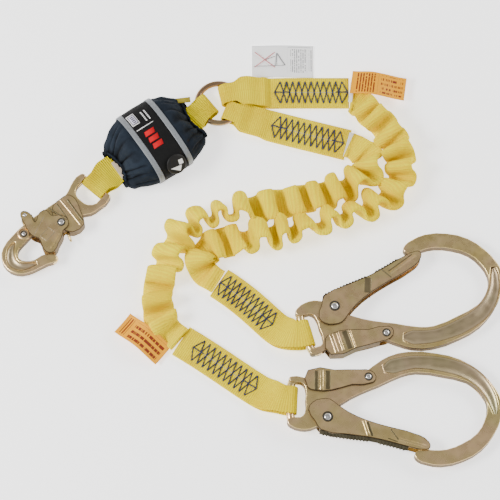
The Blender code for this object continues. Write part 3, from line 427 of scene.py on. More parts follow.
def make_materials():
    gold = [(0.30, (0.62, 0.47, 0.17)), (0.45, (0.70, 0.53, 0.24)), (0.56, (0.76, 0.53, 0.29)),
            (0.70, (0.64, 0.52, 0.22))]
    # painted shade: a darker copy of the zinc for the side walls of plates and forgings
    wall = [(0.3, (0.13, 0.09, 0.035)), (0.5, (0.18, 0.12, 0.06)), (0.7, (0.15, 0.12, 0.05))]
    # painted shade: a darker copy of the zinc for the channels' hollow floors and thin lines on the snap gate
    deep = [(0.3, (0.40, 0.33, 0.18)), (0.5, (0.48, 0.37, 0.23)), (0.7, (0.40, 0.36, 0.20))]
    brown = [(0.3, (0.30, 0.20, 0.10)), (0.5, (0.40, 0.25, 0.15)), (0.7, (0.34, 0.29, 0.15))]
    shadow = [(0.3, (0.12, 0.10, 0.05)), (0.7, (0.20, 0.16, 0.09))]
    silver = [(0.3, (0.70, 0.69, 0.68)), (0.7, (0.82, 0.81, 0.80))]
    # painted shade: near-black steel for the rivet seats
    dark = [(0.3, (0.05, 0.045, 0.035)), (0.7, (0.10, 0.09, 0.07))]
    matt = {"Specular_IOR_Level": 0.0}
    care_print = [(False, 2.3, 0.56, (-13, 15), (42, 60)), (False, 1.4, 0.8, (-14, 17), (38.4, 39.1)),
                  (True, 1.4, 0.9, (39, 64), (16.6, 17.3)), (False, 3.2, 0.6, (-11, 14), (62, 65))]
    tag_print = [(False, 3.0, 0.62, (-11, 11), (5, 26)), (False, 1.6, 0.9, (-12, 12), (28.2, 29)),
                 (True, 5.2, 0.5, (32, 56), (-10, 11))]
    long_print = [(True, 6.5, 0.6, (4, 42), (-10, 10)), (False, 3.0, 0.75, (-10, 10), (46, 52))]
    orange, brown_ink = (0.86, 0.36, 0.0), (0.20, 0.03, 0.01)
    return {
        "webbing": webbing_material("yellow_webbing", (0.90, 0.76, 0.0), (0.70, 0.48, 0.0)),
        "loop": webbing_material("absorber_webbing", (0.96, 0.82, 0.0), (0.60, 0.43, 0.0),
                                 LOOP_RIB_PITCH, 0.7),
        "elastic": webbing_material("elastic_webbing", (0.92, 0.79, 0.0), (0.84, 0.58, 0.0)),
        "cover": cloth_material("navy_fabric", (0.014, 0.021, 0.032), (0.005, 0.008, 0.013)),
        "band": cloth_material("black_fabric", (0.006, 0.006, 0.006), (0.003, 0.003, 0.003), 0.7, 0.4),
        "pad": cloth_material("beige_webbing", (0.66, 0.56, 0.42), (0.5, 0.4, 0.28)),
        # painted shade: yellow webbing darkened to olive, as a layer lying in shade
        "shaded_tab": cloth_material("olive_shaded_webbing", (0.42, 0.34, 0.04), (0.25, 0.19, 0.02)),
        "tape": reflective_material(),
        "thread": plain_material("navy_thread", (0.012, 0.018, 0.06), 0.5, drift=0.4, scale=500.0),
        "pale_thread": plain_material("pale_thread", (0.42, 0.42, 0.34), 0.6, scale=500.0),
        "zinc": steel_material("zinc_steel", gold, (0.22, 0.36)),
        # painted shade on the side walls
        "zinc_wall_shade": steel_material("zinc_painted_wall_shade", wall, (0.5, 0.62)),
        # painted shade in the hollows
        "zinc_hollow_shade": steel_material("zinc_painted_hollow_shade", deep, (0.3, 0.44)),
        "zinc_ring": steel_material("zinc_ring_steel", brown, (0.16, 0.26)),
        # painted shadow: dark raised bands on the gates and levers
        "shadow_band": steel_material("painted_shadow_steel", shadow, (0.35, 0.5)),
        # painted shade along the plates' outlines and rounded edges
        "outline_shade": plain_material("plate_painted_outline", (0.060, 0.042, 0.022), 0.7, scale=300.0, **matt),
        # painted shade on the gates' outer walls
        "spine_shade": plain_material("spine_painted_shade", (0.055, 0.048, 0.030), 0.55, scale=120.0, **matt),
        "rivet": steel_material("rivet_steel", silver, (0.14, 0.22)),
        # painted shade round the rivet heads
        "seat_shade": steel_material("rivet_painted_seat_shade", dark, (0.4, 0.5)),
        "disc": plain_material("black_plastic", (0.007, 0.0065, 0.006), 0.45, Specular_IOR_Level=0.3),
        "white_print": plain_material("white_print", (0.80, 0.79, 0.77), 0.5, drift=0.04),
        "lilac_print": plain_material("lilac_print", (0.62, 0.60, 0.74), 0.5, drift=0.04),
        "red_print": plain_material("red_print", (0.55, 0.004, 0.01), 0.6, Specular_IOR_Level=0.1),
        "ink_grey": plain_material("grey_ink", (0.20, 0.20, 0.21), 0.6),
        "care": printed_material("white_label", (0.98, 0.98, 0.97), (0.33, 0.33, 0.34), care_print),
        "orange": printed_material("orange_label", orange, brown_ink, tag_print),
        "orange_long": printed_material("orange_label_long", orange, brown_ink, long_print),
    }


# --- Plan curves and profiles ---
def direction(degrees):
    return Vector((math.cos(math.radians(degrees)), math.sin(math.radians(degrees))))


def left_of(way):
    """The plan direction to the left of a direction of travel."""
    return Vector((-way.y, way.x))


def bezier_path(start, start_angle, start_pull, end, end_angle, end_pull):
    """A path along one cubic; end_angle is the direction of travel at the end."""
    p0, p3 = Vector(start), Vector(end)
    p1 = p0 + direction(start_angle) * start_pull
    p2 = p3 - direction(end_angle) * end_pull
    points = []
    for t in np.linspace(0, 1, 201):
        t = float(t)
        points.append(p0 * (1 - t) ** 3 + p1 * 3 * t * (1 - t) ** 2 + p2 * 3 * t * t * (1 - t) + p3 * t ** 3)
    return Path(points)


def spline_path(points, per_span=24):
    """Points on a smooth curve through the given plan points (Catmull-Rom)."""
    knots = [Vector(p) for p in points]
    knots = [knots[0] * 2 - knots[1]] + knots + [knots[-1] * 2 - knots[-2]]
    path = []
    for i in range(1, len(knots) - 2):
        a, b, c, d = knots[i - 1:i + 3]
        for j in range(per_span):
            t = j / per_span
            path.append(0.5 * (2 * b + (c - a) * t + (2 * a - 5 * b + 4 * c - d) * t ** 2
                               + (3 * b - a - 3 * c + d) * t ** 3))
    path.append(knots[-2])
    return path


class Path:
    """A plan curve measured along its length."""

    def __init__(self, points):
        self.points = np.array([tuple(p)[:2] for p in points])
        steps = np.linalg.norm(np.diff(self.points, axis=0), axis=1)
        self.at = np.concatenate([[0], np.cumsum(steps)])
        self.length = float(self.at[-1])

    def place(self, s):
        return Vector((np.interp(s, self.at, self.points[:, 0]), np.interp(s, self.at, self.points[:, 1])))

    def way(self, s, reach=1.0):
        """The unit direction of travel; it is steady past either end."""
        s = min(max(s, reach), self.length - reach)
        return (self.place(s + reach) - self.place(s - reach)).normalized()


def keyed(keys, value):
    """Smooth interpolation between (value, result) keys."""
    if value <= keys[0][0]:
        return keys[0][1]
    for (a, ra), (b, rb) in zip(keys, keys[1:]):
        if value <= b:
            t = (value - a) / (b - a)
            return ra + (rb - ra) * t * t * (3 - 2 * t)
    return keys[-1][1]


def layers(middle, half, keys):
    """Height keys of the lower and the upper layer, from the fold outward."""
    low = [(0, middle - half)] + [(s, a) for s, a, _ in keys]
    high = [(0, middle + half)] + [(s, b) for s, _, b in keys]
    return low, high


def wobble(x, y=0.0, z=0.0):
    """Smooth noise from -1 to 1."""
    return noise.noise(Vector((x, y, z)))


def ring_point(x, y):
    """A plan point given from the connector ring's centre."""
    return (RING_CENTRE[0] + x, RING_CENTRE[1] + y)


def signed_area(loop):
    return sum(a[0] * b[1] - b[0] * a[1] for a, b in zip(loop, loop[1:] + loop[:1])) / 2


# --- Mesh helpers ---
def finish_piece(obj, material, body, *nodes):
    """Give a piece its material, let it ride on its body and stand for its CAD nodes."""
    obj.data.materials.append(MATERIALS[material])
    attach(obj, body)
    if nodes:
        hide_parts(*nodes)
    return obj


def mesh_object(name, points, faces, weave=None, flip=False):
    """A smooth mesh from points in layout millimetres, with an optional weave value at each."""
    mesh = bpy.data.meshes.new(name)
    world = (np.asarray(points, float).reshape(-1, 3) + np.array(LAYOUT)) * MM
    mesh.from_pydata(world.tolist(), [], [tuple(reversed(f)) for f in faces] if flip else faces)
    if weave is not None:
        attribute = mesh.attributes.new("weave", "FLOAT_VECTOR", "POINT")
        attribute.data.foreach_set("vector", np.asarray(weave, np.float32).reshape(-1))
    mesh.validate()
    mesh.shade_smooth()
    return place_object(name, mesh)


def grid_faces(rows, columns, round_rows=False, round_columns=False, caps=False):
    """Quads over a grid of points, which may close on itself either way or have capped ends."""
    faces = []
    for i in range(rows if round_rows else rows - 1):
        this, following = i * columns, (i + 1) % rows * columns
        for j in range(columns if round_columns else columns - 1):
            beside = (j + 1) % columns
            faces.append((this + j, this + beside, following + beside, following + j))
    if caps:
        faces.append(tuple(reversed(range(columns))))
        faces.append(tuple((rows - 1) * columns + j for j in range(columns)))
    return faces


def tube(name, points, radii, sides, closed=False):
    """A round tube along layout points in millimetres; radii is one number or one per point."""
    points = [Vector(p) for p in points]
    count = len(points)
    radii = [radii] * count if isinstance(radii, (int, float)) else radii
    spots, side = [], None
    for i, point in enumerate(points):
        before = points[i - 1] if i or closed else point
        after = points[(i + 1) % count] if i < count - 1 or closed else point
        way = (after - before).normalized()
        side = side or way.orthogonal().normalized()
        side = (side - way * side.dot(way)).normalized()
        up = way.cross(side)
        for j in range(sides):
            angle = 2 * math.pi * j / sides
            spots.append(point + (side * math.cos(angle) + up * math.sin(angle)) * radii[i])
    faces = grid_faces(count, sides, round_rows=closed, round_columns=True, caps=not closed)
    return mesh_object(name, spots, faces)


# --- Webbing ---
def strap_section(width, thick):
    """Points (across, outward) of a strap's rounded section, from one edge round to the same edge."""
    half, edge, columns = width / 2, thick / 2, 9
    top = [(-half + edge + (width - 2 * edge) * i / (columns - 1), edge) for i in range(columns)]
    corner = np.linspace(0.5, math.pi - 0.5, 4)
    right = [(half - edge + edge * math.sin(a), edge * math.cos(a)) for a in corner]
    return top + right + [(-x, -z) for x, z in top + right]


SECTION_POINTS = len(strap_section(1, 1))


def strap(name, path, heights, widths, fold_radius, material, *nodes):
    """A strap folded round a bar at the start of the path, its layers sewn at the far end."""
    low, high = heights
    steps = max(8, round(path.length / ROW_STEP))
    stations = [path.length * i / steps for i in range(1, steps + 1)]
    middle = (keyed(low, 0) + keyed(high, 0)) / 2
    line = [(s, keyed(low, s), 0.0) for s in reversed(stations)]
    fold_steps = 24
    for i in range(fold_steps + 1):
        angle = -math.pi / 2 - math.pi * i / fold_steps
        line.append((0.0, middle + fold_radius * math.sin(angle), fold_radius * math.cos(angle)))
    line += [(s, keyed(high, s), 0.0) for s in stations]
    centres = [Vector((*(path.place(s) + path.way(s) * back), z)) for s, z, back in line]
    points, weave, travelled = [], [], 0.0
    for i, centre in enumerate(centres):
        side = left_of(path.way(line[i][0])).to_3d()
        tangent = (centres[min(i + 1, len(centres) - 1)] - centres[max(i - 1, 0)]).normalized()
        outward = side.cross(tangent).normalized()
        travelled += (centre - centres[i - 1]).length if i else 0.0
        width = keyed(widths, line[i][0])
        for x, z in strap_section(width, WEB_THICK):
            lift = STRAP_RIPPLE * wobble(travelled * 0.06, x * 0.08, fold_radius) * (1 - abs(x) / width)
            points.append(centre + side * x + outward * (z + lift))
            weave.append((travelled, x * WEB_WIDTH / width, 0.0))
    faces = grid_faces(len(centres), SECTION_POINTS, round_columns=True, caps=True)
    return finish_piece(mesh_object(name, points, faces, weave), material, "lanyard", *nodes)


def strap_piece(name, path, height, width, thick, material, *nodes):
    """One flat layer of webbing, tape or ink at a fixed height."""
    steps = max(4, round(path.length))
    points, weave = [], []
    for i in range(steps + 1):
        s = path.length * i / steps
        side = left_of(path.way(s)).to_3d()
        for x, z in strap_section(width, thick):
            lift = 0.3 * wobble(s * 0.1, x * 0.1)
            points.append(Vector((*path.place(s), height + z + lift)) + side * x)
            weave.append((s, x, 0.0))
    faces = grid_faces(steps + 1, SECTION_POINTS, round_columns=True, caps=True)
    return finish_piece(mesh_object(name, points, faces, weave), material, "lanyard", *nodes)


def zigzag(path, start, length, side):
    """Plan points of one lock-stitch row, which starts and ends on the strap's middle line."""
    corners = []
    for i in range(STITCH_PEAKS + 1):
        s = start + length * i / STITCH_PEAKS
        reach = side * STITCH_WIDTH / 2 * (0 if i in (0, STITCH_PEAKS) else (-1) ** i)
        corners.append(path.place(s) + left_of(path.way(s)) * reach)
    return corners


def thread(name, corners, height, material="thread", scale=1.0):
    """A thread along plan corners, which plumps up between its stitches."""
    points, radii = [], []
    stitch, steps = 3.2, 5
    for a, b in zip(corners, corners[1:]):
        parts = max(1, round((b - a).length / stitch))
        for i in range(parts * steps):
            t = i / (parts * steps)
            plump = abs(math.sin(math.pi * t * parts))
            points.append(Vector((*(a + (b - a) * t), height - 0.14 * (1 - plump))))
            radii.append(THREAD_RADIUS * scale * (0.8 + 0.2 * plump))
    points.append(Vector((*corners[-1], height)))
    radii.append(THREAD_RADIUS * scale)
    return finish_piece(tube(name, points, radii, sides=6), material, "lanyard")


def stitching(name, path, start, node):
    """Two mirrored zigzag rows above and below the sewn layers, with tacks and a middle line above."""
    length = min(STITCH_LENGTH, path.length - start - 1)
    top = FLOOR_LAYER + LAYER_STEP + WEB_THICK / 2 + 0.25
    bottom = FLOOR_LAYER - WEB_THICK / 2 + 0.15
    for row, side, lift in (("left", 1, 0.35), ("right", -1, 0.0)):
        corners = zigzag(path, start, length, side)
        above = thread(f"{name}_{row}", corners, top + lift)
        if row == "left":
            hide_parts(node)
        thread(f"{name}_{row}_under", corners, bottom, scale=0.6)
    for end, s, reach in (("start", start, 16.0), ("end", start + length, -13.0)):
        tail = [path.place(s + reach * k / 4) + Vector((0, 0.5 * (k % 2))) for k in range(5)]
        thread(f"{name}_{end}_tack", tail, top + 0.7)
    middle = [path.place(start + length * k / 12) for k in range(13)]
    thread(f"{name}_middle", middle, top - 0.2, material="pale_thread", scale=0.45)


# --- Elastic legs ---
def ruffled_sleeve(leg, route, twists, seed):
    """The gathered webbing tube: a fat ribbon that waves across its own face and slowly twists.

    twists are (share of the length, degrees) keys: at 0 the ribbon lies flat, at 90 it stands on
    its edge and its waves run sideways."""
    path = Path(spline_path(route))
    count = round(path.length / 0.7)
    columns = 32
    up = Vector((0, 0, 1))
    points, weave, centreline = [], [], []
    phase, travelled, previous = seed, 0.0, None
    for i in range(count + 1):
        s = path.length * i / count
        near = min(s, path.length - s)
        swell = keyed(((0, 0.0), (SLEEVE_TAPER, 1.0)), near)
        tangent = path.way(s).to_3d()
        flat = left_of(tangent).to_3d()
        lean = math.radians(keyed(twists, s / path.length) + 34 * wobble(s * 0.042, seed) * swell)
        across = flat * math.cos(lean) + up * math.sin(lean)
        face = up * math.cos(lean) - flat * math.sin(lean)
        pitch = RUFFLE_PITCH * (1 + 0.5 * wobble(s * 0.037, seed + 5))
        phase += 2 * math.pi * (path.length / count) / pitch
        depth = RUFFLE_DEPTH * (0.95 + 0.65 * wobble(s * 0.045, seed + 9)) * swell
        width = RIBBON_WIDTH * (0.97 + 0.1 * wobble(s * 0.07, seed + 3)) * (0.9 + 0.1 * swell)
        thick = RIBBON_THICK * (1 + 0.3 * wobble(s * 0.1, seed + 7)) * (0.75 + 0.25 * swell)
        rise = 0.42 * width * abs(math.sin(lean)) + 0.75 * depth * abs(math.cos(lean))
        height = keyed(((0, 3.0), (SLEEVE_TAPER, 1.0)), near) + thick / 2 + rise * swell
        centre = Vector((*path.place(s), height))
        centreline.append(centre.copy())
        middle = centre + face * depth * math.sin(phase)
        travelled += (middle - previous).length if previous else 0.0
        previous = middle
        for j in range(columns):
            angle = 2 * math.pi * j / columns
            c, d = math.cos(angle), math.sin(angle)
            x = math.copysign(abs(c) ** 0.6, c) * width / 2
            z = math.copysign(abs(d) ** 0.75, d) * thick / 2
            turn = phase + 0.035 * x + 0.75 * wobble(x * 0.05, s * 0.035, seed)
            wave = depth * (1 + x / width * wobble(s * 0.04, seed + 17)) * math.sin(turn)
            bulge = z * (1 + 0.8 * math.sin(turn) ** 2)
            crease_shade = 0.6 * wobble(x * 0.2, s * 0.3, seed + 21) * swell
            shift = -0.085 * pitch * math.sin(2 * turn) * swell - 0.75 * z * math.cos(turn)
            point = centre + across * x + face * (wave + bulge + crease_shade) + tangent * shift
            point.z = max(point.z, 0.4 + 0.12 * abs(z) + 0.05 * abs(point.z))
            points.append(point)
            weave.append((travelled, x, 0.0))
    faces = grid_faces(count + 1, columns, round_columns=True, caps=True)
    sleeve = mesh_object(f"elastic_leg_{leg}", points, faces, weave)
    finish_piece(sleeve, "elastic", "lanyard", f"leg_{leg}_sleeve", f"leg_{leg}_core")


def build_sleeves():
    ruffled_sleeve("a", SLEEVE_A_ROUTE, ((0, 0), (0.07, 20), (0.16, 38), (0.24, 15), (0.33, 42), (0.44, 48),
                                         (0.60, 46), (0.72, 44), (0.80, 12), (0.92, 2), (1.0, 0)), 1.7)
    ruffled_sleeve("b", SLEEVE_B_ROUTE, ((0, 0), (0.07, 40), (0.15, 30), (0.23, -2), (0.44, -6), (0.52, 44),
                                         (0.66, 48), (0.74, 30), (0.82, 8), (0.94, 0), (1.0, 0)), 42.3)


# --- Sewn webbing ends and the absorber's loops ---
def joint_place(name):
    """A joint's plan point in the layout."""
    spot = Vector(JOINTS[name]["pos_m"]) / MM - LAYOUT
    return Vector((spot.x, spot.y))


def build_absorber_loops():
    way = direction(PACK_ANGLE)
    stack = PACK_STATIONS[0][3]
    low, high = stack - LAYER_STEP / 2, stack + LAYER_STEP / 2

    limb = joint_place("snap_swing") + direction(SNAP_ANGLE + 90) * 4.5
    end = Vector(PACK_CENTRE) - way * PACK_INSIDE
    path = bezier_path(limb, SNAP_ANGLE + 180, 20, end, PACK_ANGLE, 26)
    heights = layers(SNAP_HEIGHT, 5.6, [(10, SNAP_HEIGHT - 4.8, SNAP_HEIGHT + 5.4),
                                        (path.length - 22, low, high)])
    widths = ((0, 27), (6, 27), (20, WEB_WIDTH))
    strap("snap_loop", path, heights, widths, 5.6, "loop", "absorber_loop_snap_side")

    fold = Vector(RING_CENTRE) - way * 11.5 + left_of(way) * 4.0
    end = Vector(PACK_CENTRE) + way * PACK_INSIDE
    path = bezier_path(fold, PACK_ANGLE + 183, 12, end, PACK_ANGLE + 180, 22)
    heights = layers(RING_HEIGHT, 4.7, [(17, RING_HEIGHT - 4.6, RING_HEIGHT + 4.8),
                                        (22, low - 1, high + 0.8), (path.length - 14, low, high)])
    widths = ((0, 26), (12, 26), (32, WEB_WIDTH))
    strap("ring_loop", path, heights, widths, 4.7, "loop", "absorber_loop_ring_side")


def sewn_end(end, leg, path, heights, widths, fold_radius, stitch_start):
    """One end of a leg: a strap folded round its ring or eye, and the stitching that closes it."""
    strap(f"{end}_end_{leg}", path, heights, widths, fold_radius, "webbing", f"leg_{leg}_{end}_end")
    stitching(f"{end}_stitch_{leg}", path, stitch_start, f"leg_{leg}_{end}_stitching")


def build_leg_ends():
    """Beside the ring, leg B's two layers lie between leg A's; every end closes to two layers."""
    low, high = FLOOR_LAYER, FLOOR_LAYER + LAYER_STEP
    widths = ((0, 22), (7, 22), (18, 33), (37, 33), (48, WEB_WIDTH))
    over = low + 3 * LAYER_STEP + 0.7
    heights = layers(RING_HEIGHT, 7.1, [(12, low, RING_HEIGHT + 7.2), (22, low, RING_HEIGHT + 7.2),
                                        (37, low, over), (40, low, over), (47, low, high)])
    path = bezier_path(ring_point(9.1, 9.5), 14, 24, ring_point(141, 14.3), 0, 60)
    sewn_end("ring", "a", path, heights, widths, 7.1, 51.5)

    under = low + LAYER_STEP + 0.1
    over = low + 2 * LAYER_STEP + 0.1
    heights = layers(RING_HEIGHT, 4.7, [(12, RING_HEIGHT - 4.6, RING_HEIGHT + 4.7), (26, under, over),
                                        (36, under, over), (47, low, high)])
    path = bezier_path(ring_point(11.5, -10.0), -22, 24, ring_point(139, -46.5), -15, 60)
    sewn_end("ring", "b", path, heights, widths, 4.7, 48.0)

    widths = ((0, 29), (8, 29), (26, WEB_WIDTH))
    heights = layers(REBAR_HEIGHT, 6.1, [(9, REBAR_HEIGHT - 5.6, REBAR_HEIGHT + 5.6), (38, low, high)])
    start = joint_place("rebar_a_swing") + direction(REBAR_A_ANGLE + 90) * 0.6
    path = bezier_path(start, REBAR_A_ANGLE + 180, 28, HOOK_END_A, 147, 62)
    sewn_end("hook", "a", path, heights, widths, 6.1, 39.0)
    start = joint_place("rebar_b_swing") - direction(REBAR_B_ANGLE + 90)
    path = bezier_path(start, REBAR_B_ANGLE + 180, 24, HOOK_END_B, 148.5, 66)
    sewn_end("hook", "b", path, heights, widths, 6.1, 39.0)


# --- Labels ---
def label(name, start, angle, length, width, heights, material, node, curl):
    """A printed film label: its height follows keys along it, and its long edges curl up a little."""
    way = direction(angle)
    points, weave = [], []
    rows, columns = 40, 21
    for i in range(rows + 1):
        s = length * i / rows
        for j in range(columns):
            t = width * (j / (columns - 1) - 0.5)
            lift = curl * (2 * t / width) ** 2 + 0.35 * wobble(s * 0.08, t * 0.08, length)
            points.append((*(Vector(start) + way * s + left_of(way) * t), keyed(heights, s) + lift))
            weave.append((s, t, 0.0))
    obj = mesh_object(name, points, grid_faces(rows + 1, columns), weave, flip=True)
    obj.modifiers.new("film", "SOLIDIFY").thickness = 0.4 * MM
    finish_piece(obj, material, "lanyard", node)


def build_labels():
    label("care_tag", CARE_LABEL_START, 0, 67, 38, ((0, 1.6), (30, 3.2), (67, 1.2)), "care",
          "care_label", 0.8)
    label("orange_tag_a", (109.5, 194.5), -8, 59, 26, ((0, 10), (22, 15), (59, 8)), "orange",
          "orange_label_a", 1.5)
    label("orange_tag_b", (-90.0, -113.5), 141, 56, 26, ((0, 4), (28, 14), (56, 6)), "orange_long",
          "orange_label_b", 1.5)
    corner = Vector(CARE_LABEL_START)
    for i, (a, b, wide, colour) in enumerate(CARE_LINES):
        strap_piece(f"care_line_{i}", Path([corner + Vector(a), corner + Vector(b)]), 3.9, wide, 0.3, colour)
    strap_piece("tape_end_a", Path([(107.6, 184.0), (111.8, 183.4)]), 9.0, 24.0, 0.9, "white_print")
    strap_piece("tape_end_b", Path([(103.5, 124.2), (108.6, 122.8)]), 4.6, 29.0, 0.9, "white_print")


# --- Absorber pack ---
def pack_section(s, grow=0.0):
    """Half width, half thickness and middle height, smoothed a little along the pack."""
    at, *curves = np.array(PACK_STATIONS, float).T
    near = [s + k for k in (-3, -1.5, 0, 1.5, 3)]
    width, thick, middle = (float(np.mean(np.interp(near, at, curve))) for curve in curves)
    return width + grow, thick + grow, middle


def pack_point(s, angle, grow=0.0, along=None):
    """A point on the pack's surface in the layout; `along` moves it past the section it is read from."""
    width, thick, middle = pack_section(s, grow)
    c, d = math.cos(angle), math.sin(angle)
    power = 2 / PACK_SQUARENESS
    x = s if along is None else along
    y = math.copysign(abs(c) ** power, c) * width
    z = middle + math.copysign(abs(d) ** power, d) * thick
    way = direction(PACK_ANGLE)
    plan = Vector(PACK_CENTRE) + way * x + left_of(way) * y
    return Vector((plan.x, plan.y, z))


def gather(s, angle):
    """How far the cloth stands out at its pleats, which deepen towards the elastic mouths."""
    reach = abs(s)
    near_mouth = keyed(((19, 0.0), (36, 0.55), (50, 1.0)), reach)
    off_band = keyed(((15, 0.0), (30, 1.0)), reach)
    side = 11.0 if s > 0 else 3.0
    c, d = math.cos(angle), math.sin(angle)
    drift = 2.6 * wobble(c * 1.4 + side, d * 1.4, s * 0.03) + 1.2 * wobble(c * 4 + side, d * 4, s * 0.02)
    pleat = abs(math.sin(9 * angle + drift + side)) ** 0.9
    small = abs(math.sin(14 * angle + 2 * drift)) ** 0.8 * keyed(((38, 0.0), (49, 1.0)), reach)
    crumple = 0.7 * wobble(c * 2.3, d * 2.3 + side, s * 0.07) * (0.3 + 0.7 * off_band)
    sag = 1.1 * wobble(c * 3.5 + side, d * 3.5, s * 0.13) * off_band
    rounding = 0.13 * max(0.0, reach - 44) ** 2
    return near_mouth * (5.6 * pleat + 1.6 * small - 4.2) - rounding + crumple + sag


def lip_pull(s, angle):
    """The mouth's edge is drawn back where a loop leaves it, and scalloped by the elastic."""
    near_mouth = keyed(((30, 0.0), (50, 1.0)), abs(s))
    back = 6.5 * (1 - abs(math.cos(angle)) ** 1.6) + 0.5 * math.sin(9 * angle + 2.2 * math.sin(angle * 3))
    return -math.copysign(near_mouth * back, s)


def pack_surface(name, rows, material, nodes, folds, pull=None):
    """A closed ring of cloth round the pack. rows are (s, grow, along) from one edge to the other."""
    points, weave, columns = [], [], 260
    for s, grow, x in rows:
        width, thick, _ = pack_section(s)
        for j in range(columns):
            angle = 2 * math.pi * j / columns
            extra = folds(s, angle)
            shift = pull(s, angle) if pull else 0.0
            points.append(pack_point(s, angle, grow + extra, x + shift))
            # the third weave value is how far the cloth stands out; the cloth material turns it into painted
            # shade in the folds
            weave.append((x, angle * (width + thick) / 2, extra))
    faces = grid_faces(len(rows), columns, round_columns=True)
    return finish_piece(mesh_object(name, points, faces, weave, flip=True), material, "lanyard", *nodes)


def build_cover():
    """The gathered cover, which turns in at both mouths over a rounded lip."""
    end = PACK_STATIONS[-1][0]
    rows = [(s, 0.0, s) for s in np.linspace(-end, end, 150)]
    lip = [(0.4, 1.4), (-0.4, 2.4), (-1.8, 3.0), (-3.2, 2.6), (-4.2, 1.4), (-4.6, -1.0), (-4.8, -6.0)]
    for grow, past in lip:
        rows.insert(0, (-end, grow, -end - past))
        rows.append((end, grow, end + past))
    nodes = ["absorber_cover", "tear_webbing_pack"]
    cover = pack_surface("gathered_cover", rows, "cover", nodes, gather, lip_pull)


def slack(s, angle):
    """The slight looseness of a flat band."""
    return 0.35 * wobble(math.cos(angle) * 2.6, math.sin(angle) * 2.6, s * 0.05 + 9)


def band(name, low, high, grow, material, node):
    """A flat band of cloth round the pack, with rounded edges that tuck under."""
    rows = [(s, grow, s) for s in np.linspace(low, high, max(6, round((high - low) / 0.9)))]
    rows = [(low, grow - 1.2, low), (low, grow - 0.5, low), *rows, (high, grow - 0.5, high),
            (high, grow - 1.2, high)]
    pack_surface(name, rows, material, [node], slack)


def print_patch(name, s_range, t_range, material, slant=0.0, rise=1.35):
    """A printed block on the band: s along the pack and t across it, both in millimetres."""
    points, count = [], 14
    for i in range(count + 1):
        share = i / count
        t = t_range[0] + (t_range[1] - t_range[0]) * share
        points += [on_band(s + slant * share, t, rise) for s in s_range]
    obj = mesh_object(name, points, grid_faces(count + 1, 2))
    obj.modifiers.new("ink", "SOLIDIFY").thickness = 0.25 * MM
    finish_piece(obj, material, "lanyard")


def on_band(s, t, rise):
    """The point of the pack's upper side whose distance across the pack is t."""
    width, _, _ = pack_section(s, rise)
    c = abs(t / width) ** (PACK_SQUARENESS / 2)
    angle = math.acos(min(1.0, c))
    return pack_point(s, angle if t >= 0 else math.pi - angle, rise)


def build_prints():
    """Plain blocks where the band is printed: a framed box, a rule, two rows of dots and red bars."""
    print_patch("print_box", (-14.0, -5.0), (18.5, 33.5), "white_print")
    print_patch("print_box_inner", (-13.2, -5.8), (19.6, 32.4), "band", rise=1.5)
    print_patch("print_box_field", (-12.5, -6.5), (20.6, 31.4), "lilac_print", rise=1.65)
    for i in range(4):
        low = 21.6 + 2.4 * i
        print_patch(f"print_box_bar_{i}", (-11.2, -7.8), (low, low + 1.2), "band", rise=1.8)
    print_patch("print_rule", (-13.5, 7.0), (11.5, 12.3), "white_print")
    for i in range(6):
        for j in range(2):
            low = 16.5 + 2.3 * i
            print_patch(f"print_dot_{i}_{j}", (1.5 + 4.2 * j, 3.0 + 4.2 * j), (low, low + 1.5), "white_print")
    for i in range(3):
        low = -15.5 + 8.0 * i
        print_patch(f"print_red_{i}", (-9.5, 2.0), (low, low + 5.8), "red_print", slant=1.6)


def build_disc():
    """The round inspection tab on the band's shoulder, with a plain window and a pointer."""
    s, angle, step = 2.0, math.radians(151), 0.05
    tangent = pack_point(s, angle - step) - pack_point(s, angle + step)
    way = direction(PACK_ANGLE).to_3d()
    outward = tangent.cross(way).normalized()
    outward = outward if outward.z > 0 else -outward
    down = way.cross(outward)
    centre = pack_point(s, angle) + outward * 2.3

    def spot(x, y, height):
        return centre + way * x + down * y + outward * height

    rings = [(0.01, 1.0), (6.0, 1.0), (9.6, 0.9), (10.6, 0.5), (11.0, 0.0), (10.6, -0.8), (0.01, -0.8)]
    turns = np.linspace(0, 2 * math.pi, 56, endpoint=False)
    points = [spot(r * math.cos(a), r * math.sin(a), height) for r, height in rings for a in turns]
    disc = mesh_object("inspection_tab", points, grid_faces(len(rings), len(turns), round_columns=True))
    finish_piece(disc, "disc", "lanyard", "inspection_disc")
    window = [(3.0, -3.4), (7.8, -3.0), (7.4, 2.2), (2.6, 1.8)]
    pointer = [(-8.0, 1.0), (4.5, 3.2), (0.5, 8.6)]
    for name, corners in (("tab_window", window), ("tab_pointer", pointer)):
        count = len(corners)
        faces = [tuple(range(count)), tuple(reversed(range(count, 2 * count)))]
        faces += [(i, i + count, (i + 1) % count + count, (i + 1) % count) for i in range(count)]
        obj = mesh_object(name, [spot(x, y, h) for h in (1.35, 0.75) for x, y in corners], faces)
        obj.data.shade_flat()
        finish_piece(obj, "white_print", "lanyard")


